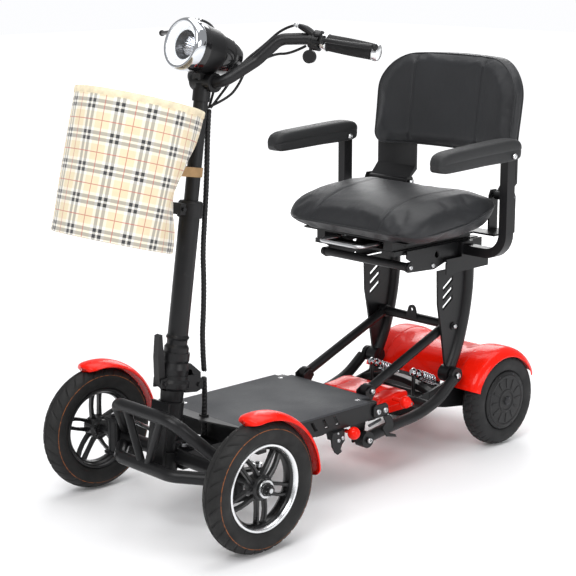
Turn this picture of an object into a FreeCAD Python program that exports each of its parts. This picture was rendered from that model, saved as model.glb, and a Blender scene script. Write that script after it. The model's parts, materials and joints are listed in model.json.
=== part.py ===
import FreeCAD
import Part
import Sketcher
import math
import os

# A folding four-wheel mobility scooter. X runs forward, Y to the rider's left and Z up, in millimetres,
# with the origin on the floor under the middle of the scooter. Stations along the scooter are measured
# from the front axle, so a station behind the axle is negative.

Vector = FreeCAD.Vector
Rotation = FreeCAD.Rotation
Placement = FreeCAD.Placement
X_AXIS = Vector(1, 0, 0)
Y_AXIS = Vector(0, 1, 0)
Z_AXIS = Vector(0, 0, 1)
SIDES = {"left": 1, "right": -1}

doc = FreeCAD.newDocument("mobility_scooter")

DRIVING_SIZES = {
    "front_axle_x": 341.6,
    "wheel_base": 818.3,
    "front_tyre_radius": 127.5,
    "front_tyre_width": 52,
    "front_track": 492.8,
    "front_bead_radius": 84,
    "rear_tyre_radius": 103.5,
    "rear_tyre_width": 50,
    "rear_track": 288.4,
    "hub_radius": 66,
    "kingpin_track": 370,
    "kingpin_radius": 7,
    "column_lean": 8.4,
    "column_foot": 36.9,
    "stem_radius": 19,
    "head_radius": 25,
    "lower_tube_radius": 20,
    "upper_tube_radius": 14,
    "bar_radius": 11,
    "grip_radius": 16,
    "lamp_radius": 49,
    "bumper_tube_radius": 12.5,
    "strut_tube_radius": 10,
    "frame_tube_radius": 12,
    "upright_tube_radius": 14,
    "deck_front": -98,
    "deck_rear": -430,
    "deck_half_width": 142,
    "deck_top": 181,
    "deck_thickness": 4,
    "rail_height": 36,
    "pivot_radius": 6,
    "running_gap": 0.05,
    "seat_half_width": 208,
    "seat_top": 576,
    "seat_bottom": 510,
    "back_half_width": 205,
    "back_bottom": 646,
    "back_top": 869,
    "arm_offset": 236,
    "pad_half_width": 22,
    "basket_top_radius": 121,
    "basket_bottom_radius": 114,
    "basket_height": 269,
    "basket_lean": 15.7,
    "harness_radius": 5.6,
    "cable_radius": 2.6,
}

sheet = doc.addObject("Spreadsheet::Sheet", "Sizes")
for row, (alias, size) in enumerate(DRIVING_SIZES.items(), start=1):
    sheet.set("A%d" % row, alias)
    sheet.set("B%d" % row, str(size))
    sheet.setAlias("B%d" % row, alias)
doc.recompute()

sub_parts = {}


def size(alias):
    return float(sheet.get(alias))


def at(x, y, z):
    """A point at a station measured from the front axle."""
    return Vector(size("front_axle_x") + x, y, z)


def column_placement():
    """Local Z runs up the leaning column from where its axis meets the floor."""
    return Placement(at(size("column_foot"), 0, 0), Rotation(Y_AXIS, -size("column_lean")))


def on_column(forward, side, up):
    return column_placement().multVec(Vector(forward, side, up))


def direction(a, b):
    return (b - a).normalize()


def bind(thing, sizes):
    """Sets each size, a number or a formula of the sheet's cells."""
    for name, value in sizes.items():
        if isinstance(value, str):
            thing.setExpression(name, value)
        else:
            setattr(thing, name, value)
    return thing


def publish(label, thing):
    thing.Label = label
    sub_parts[label] = thing
    return thing


def cylinder(name, start, along, radius, height):
    thing = doc.addObject("Part::Cylinder", name)
    thing.Placement = Placement(start, Rotation(Z_AXIS, along))
    return bind(thing, {"Radius": radius, "Height": height})


def box(name, low, high):
    thing = doc.addObject("Part::Box", name)
    thing.Placement.Base = low
    span = high - low
    return bind(thing, {"Length": span.x, "Width": span.y, "Height": span.z})


def feature(name, shape, placement=None):
    thing = doc.addObject("Part::Feature", name)
    thing.Shape = shape
    if placement:
        thing.Placement = placement
    return thing


def fuse(name, pieces):
    thing = doc.addObject("Part::MultiFuse", name)
    thing.Shapes = pieces
    return thing


def cut(name, base, tool):
    thing = doc.addObject("Part::Cut", name)
    thing.Base = base
    thing.Tool = tool
    return thing


def group(name, pieces):
    thing = doc.addObject("Part::Compound", name)
    thing.Links = pieces
    return thing


def sketch_in(body, role, name):
    plane = next(feature for feature in body.Origin.OriginFeatures if feature.Role == role)
    sketch = body.newObject("Sketcher::SketchObject", name)
    sketch.AttachmentSupport = [(plane, "")]
    sketch.MapMode = "FlatFace"
    return sketch


def draw_outline(sketch, corners):
    points = [Vector(a, b, 0) for a, b in corners]
    for start, end in zip(points, points[1:] + points[:1]):
        sketch.addGeometry(Part.LineSegment(start, end))


def draw_circle(sketch, centre, radius):
    index = sketch.addGeometry(Part.Circle(Vector(centre[0], centre[1], 0), Z_AXIS, 1))
    constraint = sketch.addConstraint(Sketcher.Constraint("Radius", index, 1))
    if isinstance(radius, str):
        sketch.setExpression("Constraints[%d]" % constraint, radius)
    else:
        sketch.setDatum(constraint, radius)


def plate(name, role, corners, thickness, place, holes=(), cutouts=()):
    """A flat plate, padded evenly both ways from its sketch plane, with round holes and cut-outs."""
    body = doc.addObject("PartDesign::Body", name)
    outline = sketch_in(body, role, name + "_outline")
    draw_outline(outline, corners)
    pad = body.newObject("PartDesign::Pad", name + "_pad")
    pad.Profile = outline
    pad.SideType = "Symmetric"
    bind(pad, {"Length": thickness})
    if holes or cutouts:
        openings = sketch_in(body, role, name + "_openings")
        for centre, radius in holes:
            draw_circle(openings, centre, radius)
        for corners in cutouts:
            draw_outline(openings, corners)
        pocket = body.newObject("PartDesign::Pocket", name + "_pocket")
        pocket.Profile = openings
        pocket.Type = "ThroughAll"
        pocket.SideType = "Symmetric"
    body.Placement = place
    return body


def side_plate(name, corners, thickness, y, holes=(), cutouts=()):
    """A plate that stands along the scooter; corners and holes are stations and heights."""
    place = Placement(at(0, y, 0), Rotation())
    return plate(name, "XZ_Plane", corners, thickness, place, holes, cutouts)


def turned(name, profile, place):
    """A body turned about its local Z from corners given as radius and height."""
    body = doc.addObject("PartDesign::Body", name)
    half = sketch_in(body, "XZ_Plane", name + "_profile")
    draw_outline(half, profile)
    revolution = body.newObject("PartDesign::Revolution", name + "_turn")
    revolution.Profile = half
    revolution.ReferenceAxis = (half, ["V_Axis"])
    revolution.Angle = 360
    body.Placement = place
    return body


def rounded_path(points, radii):
    """Straight runs through the points, joined by arcs that touch both runs."""
    edges = []
    start = points[0]
    for before, corner, after, radius in zip(points, points[1:], points[2:], radii):
        inward = direction(corner, before)
        outward = direction(corner, after)
        half_angle = inward.getAngle(outward) / 2
        reach = radius / math.tan(half_angle)
        arc_start = corner + inward * reach
        arc_end = corner + outward * reach
        bisector = (inward + outward).normalize()
        middle = corner + bisector * (radius / math.sin(half_angle) - radius)
        edges.append(Part.LineSegment(start, arc_start).toShape())
        edges.append(Part.Arc(arc_start, middle, arc_end).toShape())
        start = arc_end
    edges.append(Part.LineSegment(start, points[-1]).toShape())
    return Part.Wire(edges)


def largest_radii(points):
    """Each corner's largest radius: 0.45 of its shorter run over the tangent of half its turn."""
    radii = []
    for before, corner, after in zip(points, points[1:], points[2:]):
        turn = (corner - before).getAngle(after - corner)
        shorter = min((corner - before).Length, (after - corner).Length)
        radii.append(0.45 * shorter / math.tan(turn / 2))
    return radii


def swept(points, radii, section):
    """A solid swept along a rounded path; the section is a wire square to the first run."""
    path = rounded_path(points, radii)
    solid = path.makePipeShell([section], True, False)
    return solid


def tube_shape(points, radii, radius, bore=0):
    start = points[0]
    along = direction(points[0], points[1])
    outer = swept(points, radii, Part.Wire(Part.makeCircle(radius, start, along)))
    if not bore:
        return outer
    return outer.cut(swept(points, radii, Part.Wire(Part.makeCircle(bore, start, along))))


def mirror_y(shape):
    return shape.mirror(Vector(0, 0, 0), Y_AXIS)


def ring(outer, inner, height):
    return Part.makeCylinder(outer, height).cut(Part.makeCylinder(inner, height))


# ---------------------------------------------------------------- front frame and deck

SPINE_LOW = 104
SPINE_HIGH = 138
BEAM_HEIGHT = 128
YOKE_LOW = 92
YOKE_HIGH = 158
YOKE_THICKNESS = 6
LOWER_CUP = (108, 142)
UPPER_CUP = (176, 240)


def front_frame():
    """Head tube, axle beam, kingpin yokes, spine and deck cross members, welded together."""
    kingpin = size("kingpin_track") / 2
    head = size("head_radius")
    place = column_placement()
    pieces = []
    for index, (low, high) in enumerate((LOWER_CUP, UPPER_CUP)):
        start = place.multVec(Vector(0, 0, low))
        cup = cylinder("head_cup_%d" % index, start, place.Rotation.multVec(Z_AXIS), "Sizes.head_radius",
                       high - low)
        pieces.append(cup)
    face = Part.makeBox(6, 2 * head, UPPER_CUP[1] - LOWER_CUP[0], Vector(head - 3, -head, LOWER_CUP[0]))
    pieces.append(feature("head_face_plate", face, place))
    beam_end = kingpin - 34
    pieces.append(cylinder("axle_beam", at(0, -beam_end, BEAM_HEIGHT), Y_AXIS, 14, 2 * beam_end))
    for side in SIDES.values():
        web_low = kingpin * side - 34 * side
        corner_a = at(-11, min(web_low, web_low + 5 * side), YOKE_LOW - YOKE_THICKNESS)
        corner_b = at(20, max(web_low, web_low + 5 * side), YOKE_HIGH + YOKE_THICKNESS)
        pieces.append(box("yoke_web", corner_a, corner_b))
        for height in (YOKE_LOW - YOKE_THICKNESS, YOKE_HIGH):
            inner = side * (kingpin - 34)
            outer = side * (kingpin + 16)
            low = at(-16, min(inner, outer), height)
            high = at(16, max(inner, outer), height + YOKE_THICKNESS)
            pieces.append(box("yoke_plate", low, high))
        pin_start = at(0, side * kingpin, YOKE_LOW - YOKE_THICKNESS - 4)
        pieces.append(cylinder("kingpin", pin_start, Z_AXIS, "Sizes.kingpin_radius",
                               YOKE_HIGH - YOKE_LOW + 20))
    spine_end = size("deck_rear") + 5
    pieces.append(box("spine", at(spine_end, -30, SPINE_LOW), at(0, 30, SPINE_HIGH)))
    rail_top = size("deck_top") - size("deck_thickness")
    inner_width = size("deck_half_width") - 4
    for station in (size("deck_front"), -255, size("deck_rear") + 24):
        low = at(station - 22, -inner_width, SPINE_HIGH)
        pieces.append(box("cross_member", low, at(station, inner_width, rail_top)))
    frame = fuse("front_frame_welded", pieces)
    bore = cylinder("stem_bore", place.multVec(Vector(0, 0, 90)), place.Rotation.multVec(Z_AXIS),
                    "Sizes.stem_radius + Sizes.running_gap", 170)
    publish("front_frame", cut("front_frame_bored", frame, bore))


def front_bumper():
    """The tubular bar in front: an upper and a lower bent tube with two struts in a V."""
    radius = size("bumper_tube_radius")
    foot = size("kingpin_track") / 2 - 42
    nose = 70

    def bar(height, half_width, foot_height, foot_station):
        points = [at(foot_station, -foot, foot_height), at(nose, -half_width, height)]
        points += [at(nose, half_width, height), at(foot_station, foot, foot_height)]
        return tube_shape(points, [38, 38], radius)

    upper = bar(229, 84, 152, 4)
    lower = bar(121, 78, 116, 12)
    struts = []
    for side in SIDES.values():
        top = at(nose, 52 * side, 226)
        bottom = at(nose, 9 * side, 124)
        struts.append(Part.makeCylinder(8, (bottom - top).Length, top, bottom - top))
    tubes = feature("bumper_tubes", upper.fuse([lower] + struts))
    publish("front_bumper", cut("front_bumper_coped", tubes, sub_parts["front_frame"]))


def neck_cover():
    """The sloping cover between the head tube and the deck, with its harness gland."""
    top = [at(-36, -34, 199), at(-36, 34, 199), at(-95, 118, 184), at(-95, -118, 184)]
    bottom = [point - Vector(0, 0, 3) for point in top]
    faces = [Part.Face(Part.makePolygon(top + top[:1])), Part.Face(Part.makePolygon(bottom + bottom[:1]))]
    for index in range(4):
        after = (index + 1) % 4
        corners = [top[index], top[after], bottom[after], bottom[index], top[index]]
        faces.append(Part.Face(Part.makePolygon(corners)))
    cover = Part.makeSolid(Part.makeShell(faces))
    gland_hole = Part.makeCylinder(size("harness_radius") + 4, 40, at(-80, 0, 170))
    cover = cover.cut(gland_hole)
    gland = ring(size("harness_radius") + 3.9, size("harness_radius") + 0.4, 14)
    gland.translate(at(-80, 0, 179))
    skirt = Part.makeBox(3, 236, 38, at(-96, -118, 140))
    publish("neck_cover", feature("neck_cover_shape", Part.makeCompound([cover, skirt, gland])))


def deck_plate():
    """The footplate, with countersinks for its four screws and a notch at the rear for each strut."""
    front = size("deck_front") + 2
    rear = size("deck_rear")
    half = size("deck_half_width")
    corner = 24
    notch = 26
    outline = [(front, -half + corner), (front - corner, -half), (rear + notch, -half),
               (rear + notch, -half + notch)]
    outline += [(rear, -half + notch), (rear, half - notch), (rear + notch, half - notch),
                (rear + notch, half)]
    outline += [(front - corner, half), (front, half - corner)]
    middle = size("deck_top") - size("deck_thickness") / 2
    holes = [((station, side * 116), 5.5) for station in (-128, -396) for side in SIDES.values()]
    place = Placement(at(0, 0, middle), Rotation())
    publish("deck_plate", plate("deck_plate_body", "XY_Plane", outline, "Sizes.deck_thickness", place,
                                holes))


def deck_side_rails():
    """The two side rails under the deck's edges, each with three slanted slots."""
    top = size("deck_top") - size("deck_thickness")
    low = top - size("rail_height")
    front = size("deck_front")
    rear = size("deck_rear") + 4
    outline = [(front - 22, top), (rear, top), (rear, low + 10), (rear + 16, low), (front - 40, low),
               (front - 22, low + 14)]
    slots = []
    for index in range(3):
        start = -244 - 31 * index
        slots.append([(start + 10, low + 31), (start + 1, low + 31), (start - 11, low + 11),
                      (start - 2, low + 11)])
    rails = []
    for name, side in SIDES.items():
        y = side * (size("deck_half_width") - 2)
        rails.append(side_plate("rail_" + name, outline, 4, y, cutouts=slots))
    publish("deck_side_rails", group("deck_side_rails_pair", rails))


STRUT_FOOT = (-450, 186)
STRUT_HEAD = (-699, 285)
SEAT_PIVOT = (-687, 180)
FRAME_PIVOT = (-394, 103)
STRUT_Y = 92
UPRIGHT_Y = 108
FRAME_Y = 137


def strut_ears():
    """Two forked ears at the deck's rear corners, with the bolt that each strut's foot slides round."""
    ears = []
    for name, side in SIDES.items():
        for y in (STRUT_Y - 12.5, STRUT_Y + 12.5):
            outline = [(-428, 150), (-428, 176), (-431, 176), (-431, 188), (-446, 196), (-458, 194),
                       (-461, 182), (-440, 156)]
            ears.append(side_plate("strut_ear_%s_%d" % (name, y), outline, 3, side * y))
        pin_start = at(STRUT_FOOT[0], side * (STRUT_Y - 15), STRUT_FOOT[1])
        ears.append(cylinder("strut_pin_" + name, pin_start, Vector(0, side, 0), 5, 30))
    return ears


def pivot_lugs():
    """The two lugs under the deck that carry the rear frame's front pivot."""
    pieces = []
    for name, side in SIDES.items():
        outline = [(-372, SPINE_HIGH), (-416, SPINE_HIGH), (-410, 94), (-378, 94)]
        pieces.append(side_plate("pivot_lug_" + name, outline, 4, side * 119))
        start = at(FRAME_PIVOT[0], side * 117, FRAME_PIVOT[1])
        pieces.append(cylinder("pivot_bolt_" + name, start, Vector(0, side, 0), "Sizes.pivot_radius", 36))
    return pieces


def deck_lugs():
    """Every lug welded under the deck's rear end."""
    publish("deck_lugs", fuse("deck_lugs_welded", strut_ears() + pivot_lugs()))


def frame_bolts():
    """Screws of the deck plate and of the neck cover's skirt, all the same."""
    screws = []
    head_low = size("deck_top") - 3
    for station in (-128, -396):
        for side in SIDES.values():
            screws.append(cylinder("deck_screw", at(station, side * 116, head_low - 0.5), Z_AXIS, 5.4,
                                   3.2))
    for side in SIDES.values():
        screws.append(cylinder("skirt_screw", at(-93, side * 86, 158), X_AXIS, 6, 4))
    publish("frame_bolts", group("frame_bolts_group", screws))


# ---------------------------------------------------------------- steering column

PITMAN_HEIGHT = 160
PITMAN_REACH = 32
TIE_SPREAD = 12
COUPLING = 0.8
FOLD_HINGE = (-56, 262)
BASE_LOW = 241
BASE_HIGH = 292
CASTING_HIGH = 336
CLAMP_LOW = 596
CLAMP_HIGH = 628
STEM_TOP = 848


def steering_stem():
    """The stem in the head tube, with the pitman plate and its two ball studs."""
    pieces = [Part.makeCylinder(size("stem_radius"), BASE_LOW - 96, Vector(0, 0, 96))]
    pieces.append(Part.makeCylinder(24, 9, Vector(0, 0, 97)))
    arm = Part.makeBox(PITMAN_REACH, 2 * TIE_SPREAD + 16, 5,
                       Vector(-PITMAN_REACH, -TIE_SPREAD - 8, PITMAN_HEIGHT))
    pieces.append(arm)
    for side in SIDES.values():
        boss = Vector(-PITMAN_REACH, side * TIE_SPREAD, PITMAN_HEIGHT)
        pieces.append(Part.makeCylinder(8, 5, boss))
        pieces.append(Part.makeCylinder(3.5, 10, boss - Vector(0, 0, 10)))
    stem = pieces[0].fuse(pieces[1:])
    base = fold_base()
    publish("steering_stem", fuse("steering_stem_welded",
                                  [feature("stem_shape", stem, column_placement())] + base))


def fold_base():
    """The lower half of the folding joint: a bell on the stem, a rear hinge lug and a front latch lug."""
    profile = [(0, BASE_LOW), (22, BASE_LOW), (23, 262), (31, 268), (31, 278), (27, 284),
               (27, BASE_HIGH), (0, BASE_HIGH)]
    slot = box("lever_slot", at(12, -8.4, 262), at(45, 8.4, 294))
    bell = cut("fold_bell_slotted", turned("fold_bell", profile, column_placement()), slot)
    ears = []
    for side in SIDES.values():
        outline = [(-20, 252), (-20, 286), (-46, 283), (-66, 271), (-66, 253), (-50, 248)]
        ears.append(side_plate("hinge_ear", outline, 5, side * 13))
        latch = [(10, 268), (10, 290), (34, 288), (36, 270)]
        ears.append(side_plate("latch_ear", latch, 4, side * 11))
    pin = cylinder("latch_pin", at(27, -16, 279), Y_AXIS, 4, 32)
    hinge = cylinder("hinge_pin", at(FOLD_HINGE[0], -19, FOLD_HINGE[1]), Y_AXIS, 5, 38)
    return [bell] + ears + [pin, hinge]


def fold_casting():
    """The upper half of the folding joint, which carries the lower tube."""
    profile = [(0, BASE_HIGH + 0.4), (27, BASE_HIGH + 0.4), (28, 304), (25, 316), (27, 322),
               (27, CASTING_HIGH)]
    profile += [(0, CASTING_HIGH)]
    bell = turned("casting_bell", profile, column_placement())
    x, z = FOLD_HINGE
    outline = [(x - 9, z - 7), (x + 9, z - 7), (x + 10, z + 18), (x + 14, z + 31), (-18, 300),
               (-18, 312), (-40, 306)]
    outline += [(x - 9, z + 22)]
    knuckle = side_plate("hinge_knuckle", outline, 20, 0, holes=[((x, z), 5.05)])
    return [bell, knuckle]


def fold_latch_lever():
    """The over-centre lever on the front of the folding joint."""
    outline = [(20, 272), (34, 272), (37, 290), (38, 330), (34, 372), (27, 374), (25, 340), (22, 300)]
    lever = side_plate("latch_lever_body", outline, 16, 0, holes=[((27, 279), 4.05)])
    publish("fold_latch_lever", lever)


def tiller_lower_tube():
    """The outer tube of the telescopic column, with the two strengthening beads near its foot."""
    outer = size("lower_tube_radius")
    bore = size("upper_tube_radius") + size("running_gap")
    low = CASTING_HIGH
    profile = [(bore, low), (24, low), (24, 346), (outer, 352), (outer, 360), (23, 365), (outer, 370)]
    profile += [(outer, CLAMP_LOW), (bore, CLAMP_LOW)]
    tube = turned("lower_tube_body", profile, column_placement())
    publish("tiller_lower_tube", fuse("lower_tube_and_casting", [tube] + fold_casting()))


def height_clamp():
    """The split collar that pinches the upper tube, with the bolt that its lever turns on."""
    bore = size("upper_tube_radius") + size("running_gap")
    profile = [(bore, CLAMP_LOW + 0.2), (24, CLAMP_LOW + 0.2), (24, CLAMP_HIGH - 4), (21, CLAMP_HIGH),
               (bore, CLAMP_HIGH)]
    collar = turned("collar", profile, column_placement())
    start = on_column(27, 17, (CLAMP_LOW + CLAMP_HIGH) / 2)
    bolt = cylinder("clamp_bolt", start, Vector(0, -1, 0), 4, 50)
    lug = feature("clamp_lug", Part.makeBox(14, 24, 22, Vector(20, -12, CLAMP_LOW + 5)),
                  column_placement())
    publish("height_clamp", fuse("height_clamp_welded", [collar, lug, bolt]))


def clamp_lever():
    """The quick-release lever beside the collar."""
    blade = Part.makeBox(10, 6, 64, Vector(22, -31, CLAMP_LOW - 40))
    cam = Part.makeCylinder(10, 13, Vector(27, -18, (CLAMP_LOW + CLAMP_HIGH) / 2), Vector(0, -1, 0))
    hole = Part.makeCylinder(4.05, 60, Vector(27, 20, (CLAMP_LOW + CLAMP_HIGH) / 2), Vector(0, -1, 0))
    publish("clamp_lever", feature("clamp_lever_shape", blade.fuse(cam).cut(hole), column_placement()))


def tiller_upper_tube():
    """The sliding tube, welded to the clamp that holds the handlebar."""
    radius = size("upper_tube_radius")
    tube = Part.makeCylinder(radius, STEM_TOP - 476, Vector(0, 0, 476))
    neck = Part.makeCylinder(17, 24, Vector(0, 0, STEM_TOP - 32))
    post = tube.fuse(neck)
    post.Placement = column_placement()
    clamp = Part.makeCylinder(18, 56, bar_centre() - Vector(0, 28, 0), Y_AXIS)
    stem = post.fuse(clamp).cut(bar_solid(0.1)).cut(lamp_room(0.4))
    publish("tiller_upper_tube", feature("upper_tube_shape", stem))


# ---------------------------------------------------------------- handlebar and controls

GRIP_START = at(-208, 160, 926)
GRIP_END = at(-262, 284, 904)
GRIP_ALONG = direction(GRIP_START, GRIP_END)
GRIP_FORWARD = GRIP_ALONG.cross(Z_AXIS).normalize()


BAR_RADII = [40, 34, 40, 40, 40, 40, 34, 40]
INNER_KNEE = at(-182, 112, 924)


def bar_centre():
    return on_column(0, 0, STEM_TOP) + Vector(-8, 0, 4)


def bar_points():
    knee = bar_centre() + Vector(0, 44, 0)
    half = [knee, at(-152, 80, 884), INNER_KNEE, GRIP_START, GRIP_END]
    right = [Vector(point.x, -point.y, point.z) for point in reversed(half)]
    return right + half


def bar_solid(gap=0):
    """The handlebar as a solid rod, grown by the gap, for boring what clamps round it."""
    return tube_shape(bar_points(), BAR_RADII, size("bar_radius") + gap)


def handlebar():
    shape = tube_shape(bar_points(), BAR_RADII, size("bar_radius"), 8.6)
    publish("handlebar", feature("handlebar_shape", shape))


def beside_grip(along, forward, up):
    """A point near the left grip, measured along it and square to it."""
    lift = GRIP_FORWARD.cross(GRIP_ALONG).normalize()
    if lift.z < 0:
        lift = lift * -1
    return GRIP_START + GRIP_ALONG * along + GRIP_FORWARD * forward + lift * up


def sleeve(start, length, outer, inner):
    hollow = ring(outer, inner, length)
    hollow.Placement = Placement(beside_grip(start, 0, 0), Rotation(Z_AXIS, GRIP_ALONG))
    return hollow


def both(shapes):
    """The left pieces and their mirror images."""
    return Part.makeCompound(shapes + [mirror_y(shape) for shape in shapes])


def grips():
    radius = size("grip_radius")
    inner = size("bar_radius") + 0.1
    publish("grips", feature("grips_shape", both([sleeve(42, 89, radius, inner)])))


def grip_trims():
    """The bright flange at each grip's inner end and the cap at its outer end."""
    inner = size("bar_radius") + 0.1
    flange = sleeve(28, 13.5, 17, inner)
    cap = Part.makeCylinder(15.5, 7)
    cap.Placement = Placement(GRIP_END, Rotation(Z_AXIS, GRIP_ALONG))
    collar = sleeve(131.5, 5, 16.5, inner)
    publish("grip_trims", feature("grip_trims_shape", both([flange, cap, collar])))


LEVER_PIVOT = beside_grip(37, 24, 6)
LEVER_OUT = (beside_grip(0, 24, 6) - GRIP_START).normalize()
LEVER_AXIS = LEVER_OUT.cross(GRIP_ALONG).normalize()
LEVER_PIN = 2.5
BOSS_RADIUS = 5.6
BOSS_HALF = 4.6


def control_perches():
    """Each brake lever's perch, clamped inboard of the grip and forked round the lever."""
    inner = size("bar_radius") + 0.1
    fork_gap = BOSS_HALF + 0.3
    clamp = sleeve(13, 13, 19, inner)
    boss_room = Part.makeCylinder(BOSS_RADIUS + 0.8, 2 * fork_gap, LEVER_PIVOT - LEVER_AXIS * fork_gap,
                                  LEVER_AXIS)
    pieces = []
    for side in SIDES.values():
        inner_face = LEVER_PIVOT + LEVER_AXIS * side * fork_gap
        pieces.append(Part.makeCylinder(5.6, 3, inner_face, LEVER_AXIS * side))
        arm_start = beside_grip(18, 17, 4) + LEVER_AXIS * side * (fork_gap + 1.5)
        arm = LEVER_PIVOT + LEVER_AXIS * side * (fork_gap + 1.5) - arm_start
        strip = Part.makeBox(arm.Length, 3, 9, Vector(0, -1.5, -4.5))
        turn = Rotation(arm, LEVER_AXIS, Vector(0, 0, 0), "XYZ")
        strip.Placement = Placement(arm_start, turn)
        pieces.append(strip)
    pin = Part.makeCylinder(LEVER_PIN, 2 * fork_gap + 6, LEVER_PIVOT - LEVER_AXIS * (fork_gap + 3),
                            LEVER_AXIS)
    perch = clamp.fuse(pieces).cut(boss_room).fuse(pin).cut(bar_solid(0.1))
    publish("control_perches", feature("control_perches_shape", both([perch])))


def brake_lever():
    """One brake lever, from the bored boss on its pivot to the ball at its tip."""
    points = [LEVER_PIVOT, beside_grip(72, 29, 8), beside_grip(108, 31, 10), beside_grip(142, 31, 13)]
    blade = tube_shape(points, largest_radii(points), 4.3)
    boss = Part.makeCylinder(BOSS_RADIUS, 2 * BOSS_HALF, LEVER_PIVOT - LEVER_AXIS * BOSS_HALF, LEVER_AXIS)
    bore = Part.makeCylinder(LEVER_PIN + size("running_gap"), 40, LEVER_PIVOT - LEVER_AXIS * 20,
                             LEVER_AXIS)
    return blade.fuse([Part.makeSphere(6.5, points[-1]), boss]).cut(bore)


def brake_levers():
    lever = brake_lever()
    publish("brake_lever_left", feature("brake_lever_left_shape", lever))
    publish("brake_lever_right", feature("brake_lever_right_shape", mirror_y(lever)))


def thumb_throttle():
    """The thumb throttle: a ring that turns on the bar beside the left perch, with a round paddle below it."""
    turning = sleeve(5, 6.6, 16, size("bar_radius") + size("running_gap"))
    paddle = Part.makeCylinder(12.5, 8, beside_grip(8.3, -4, -32), GRIP_FORWARD)
    neck_start = beside_grip(8.3, 0, -14.5)
    neck = Part.makeCylinder(3.2, 8, neck_start, beside_grip(8.3, 0, -32) - neck_start)
    publish("thumb_throttle", feature("thumb_throttle_shape", turning.fuse([paddle, neck])))


def lamp_placement():
    return Placement(at(-42, 0, 916), Rotation(Z_AXIS,
                                               Vector(math.cos(math.radians(15)), 0,
                                                      math.sin(math.radians(15)))))


def housing_outline(gap=0):
    """The lamp housing's outer corners as radius and height, grown by the gap."""
    radius = size("lamp_radius")
    corners = [(14, -139), (28, -126), (38, -100), (44, -66), (radius - 2, -34), (radius - 1, -14)]
    return [(r + gap, z) for r, z in corners]


def lamp_room(gap):
    """The room the lamp housing fills, grown by the gap."""
    profile = [(0, -143)] + housing_outline(gap) + [(size("lamp_radius") + gap, 0), (0, 0)]
    points = [Vector(r, 0, z) for r, z in profile]
    room = Part.Face(Part.makePolygon(points + points[:1])).revolve(Vector(0, 0, 0), Z_AXIS, 360)
    room.Placement = lamp_placement()
    return room


def lamp():
    """The headlamp: a teardrop housing, a bright bezel, and the lens with its reflector."""
    radius = size("lamp_radius")
    place = lamp_placement()
    housing = [(0, -142)] + housing_outline() + [(radius - 3, -14), (radius - 5, -34), (40, -66),
                                                 (0, -66)]
    shell = turned("lamp_housing_body", housing, place)
    publish("lamp_housing", fuse("lamp_housing_and_saddle", [shell, lamp_saddle()]))
    bezel = [(radius - 8, 8), (radius - 3, 8), (radius, 3), (radius + 1, -13.8), (radius - 6, -13.8),
             (radius - 6, 3)]
    publish("lamp_bezel", turned("lamp_bezel_body", bezel, place))
    inner = radius - 6.3
    lens = [(0, 2), (inner, 2), (inner, -13), (18, -40), (0, -44)]
    publish("lamp_lens", turned("lamp_lens_body", lens, place))


def lamp_saddle():
    """The saddle between the handlebar clamp and the lamp housing."""
    base = on_column(0, 0, STEM_TOP)
    saddle = Part.makeBox(30, 24, 26, base + Vector(-15, -12, 10))
    clamp = Part.makeCylinder(18.2, 60, bar_centre() - Vector(0, 30, 0), Y_AXIS)
    post = Part.makeCylinder(17.2, 60, Vector(0, 0, STEM_TOP - 50))
    post.Placement = column_placement()
    return feature("lamp_saddle_shape", saddle.cut(clamp).cut(post).cut(lamp_room(-1.5)))


# ---------------------------------------------------------------- basket and harness

BASKET_BOTTOM = (135, 563)


def basket_placement():
    return Placement(at(BASKET_BOTTOM[0], 0, BASKET_BOTTOM[1]), Rotation(Y_AXIS, -size("basket_lean")))


def basket():
    """The round fabric basket, open at the top."""
    top = size("basket_top_radius")
    bottom = size("basket_bottom_radius")
    high = size("basket_height")
    wall = 3.5
    profile = [(0, 0), (bottom, 0), (top, high), (top - wall, high), (bottom - wall, wall), (0, wall)]
    publish("basket", turned("basket_body", profile, basket_placement()))


def basket_strap():
    """The strap round the upper tube that holds the basket's back."""
    level = 674
    height = 18
    inner = size("upper_tube_radius") + 0.3
    reach = 60
    loop = ring(inner + 2.6, inner, height)
    for side in SIDES.values():
        low = Vector(0, min(side * inner, side * (inner + 2.6)), 0)
        loop = loop.fuse(Part.makeBox(reach, 2.6, height, low))
    loop.Placement = column_placement().multiply(Placement(Vector(0, 0, level), Rotation()))
    outside = Part.makeCone(size("basket_bottom_radius") + 0.5, size("basket_top_radius") + 0.5,
                            size("basket_height"))
    outside.Placement = basket_placement()
    publish("basket_strap", feature("basket_strap_shape", loop.cut(outside)))


def harness_lower():
    """The spiral-wrapped harness from the deck to the folding joint, short of the part that folds away."""
    points = [at(-80, 0, 150), at(-80, 0, 196), at(-83, 1, 232), at(-80, 2, 268)]
    publish_cord("harness_lower", points, size("harness_radius"))


def harness_upper():
    """The harness behind the column, from the folding joint up to the handlebar."""
    points = [at(-80, 2, 283), at(-74, 4, 345), at(-78, 5, 402), at(-80, 5, 460), at(-79, 4, 518)]
    points += [at(-84, 4, 576), at(-90, 3, 634), at(-94, 2, 692), at(-96, 2, 745), at(-100, 2, 790)]
    publish_cord("harness_upper", points, size("harness_radius"))


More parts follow.
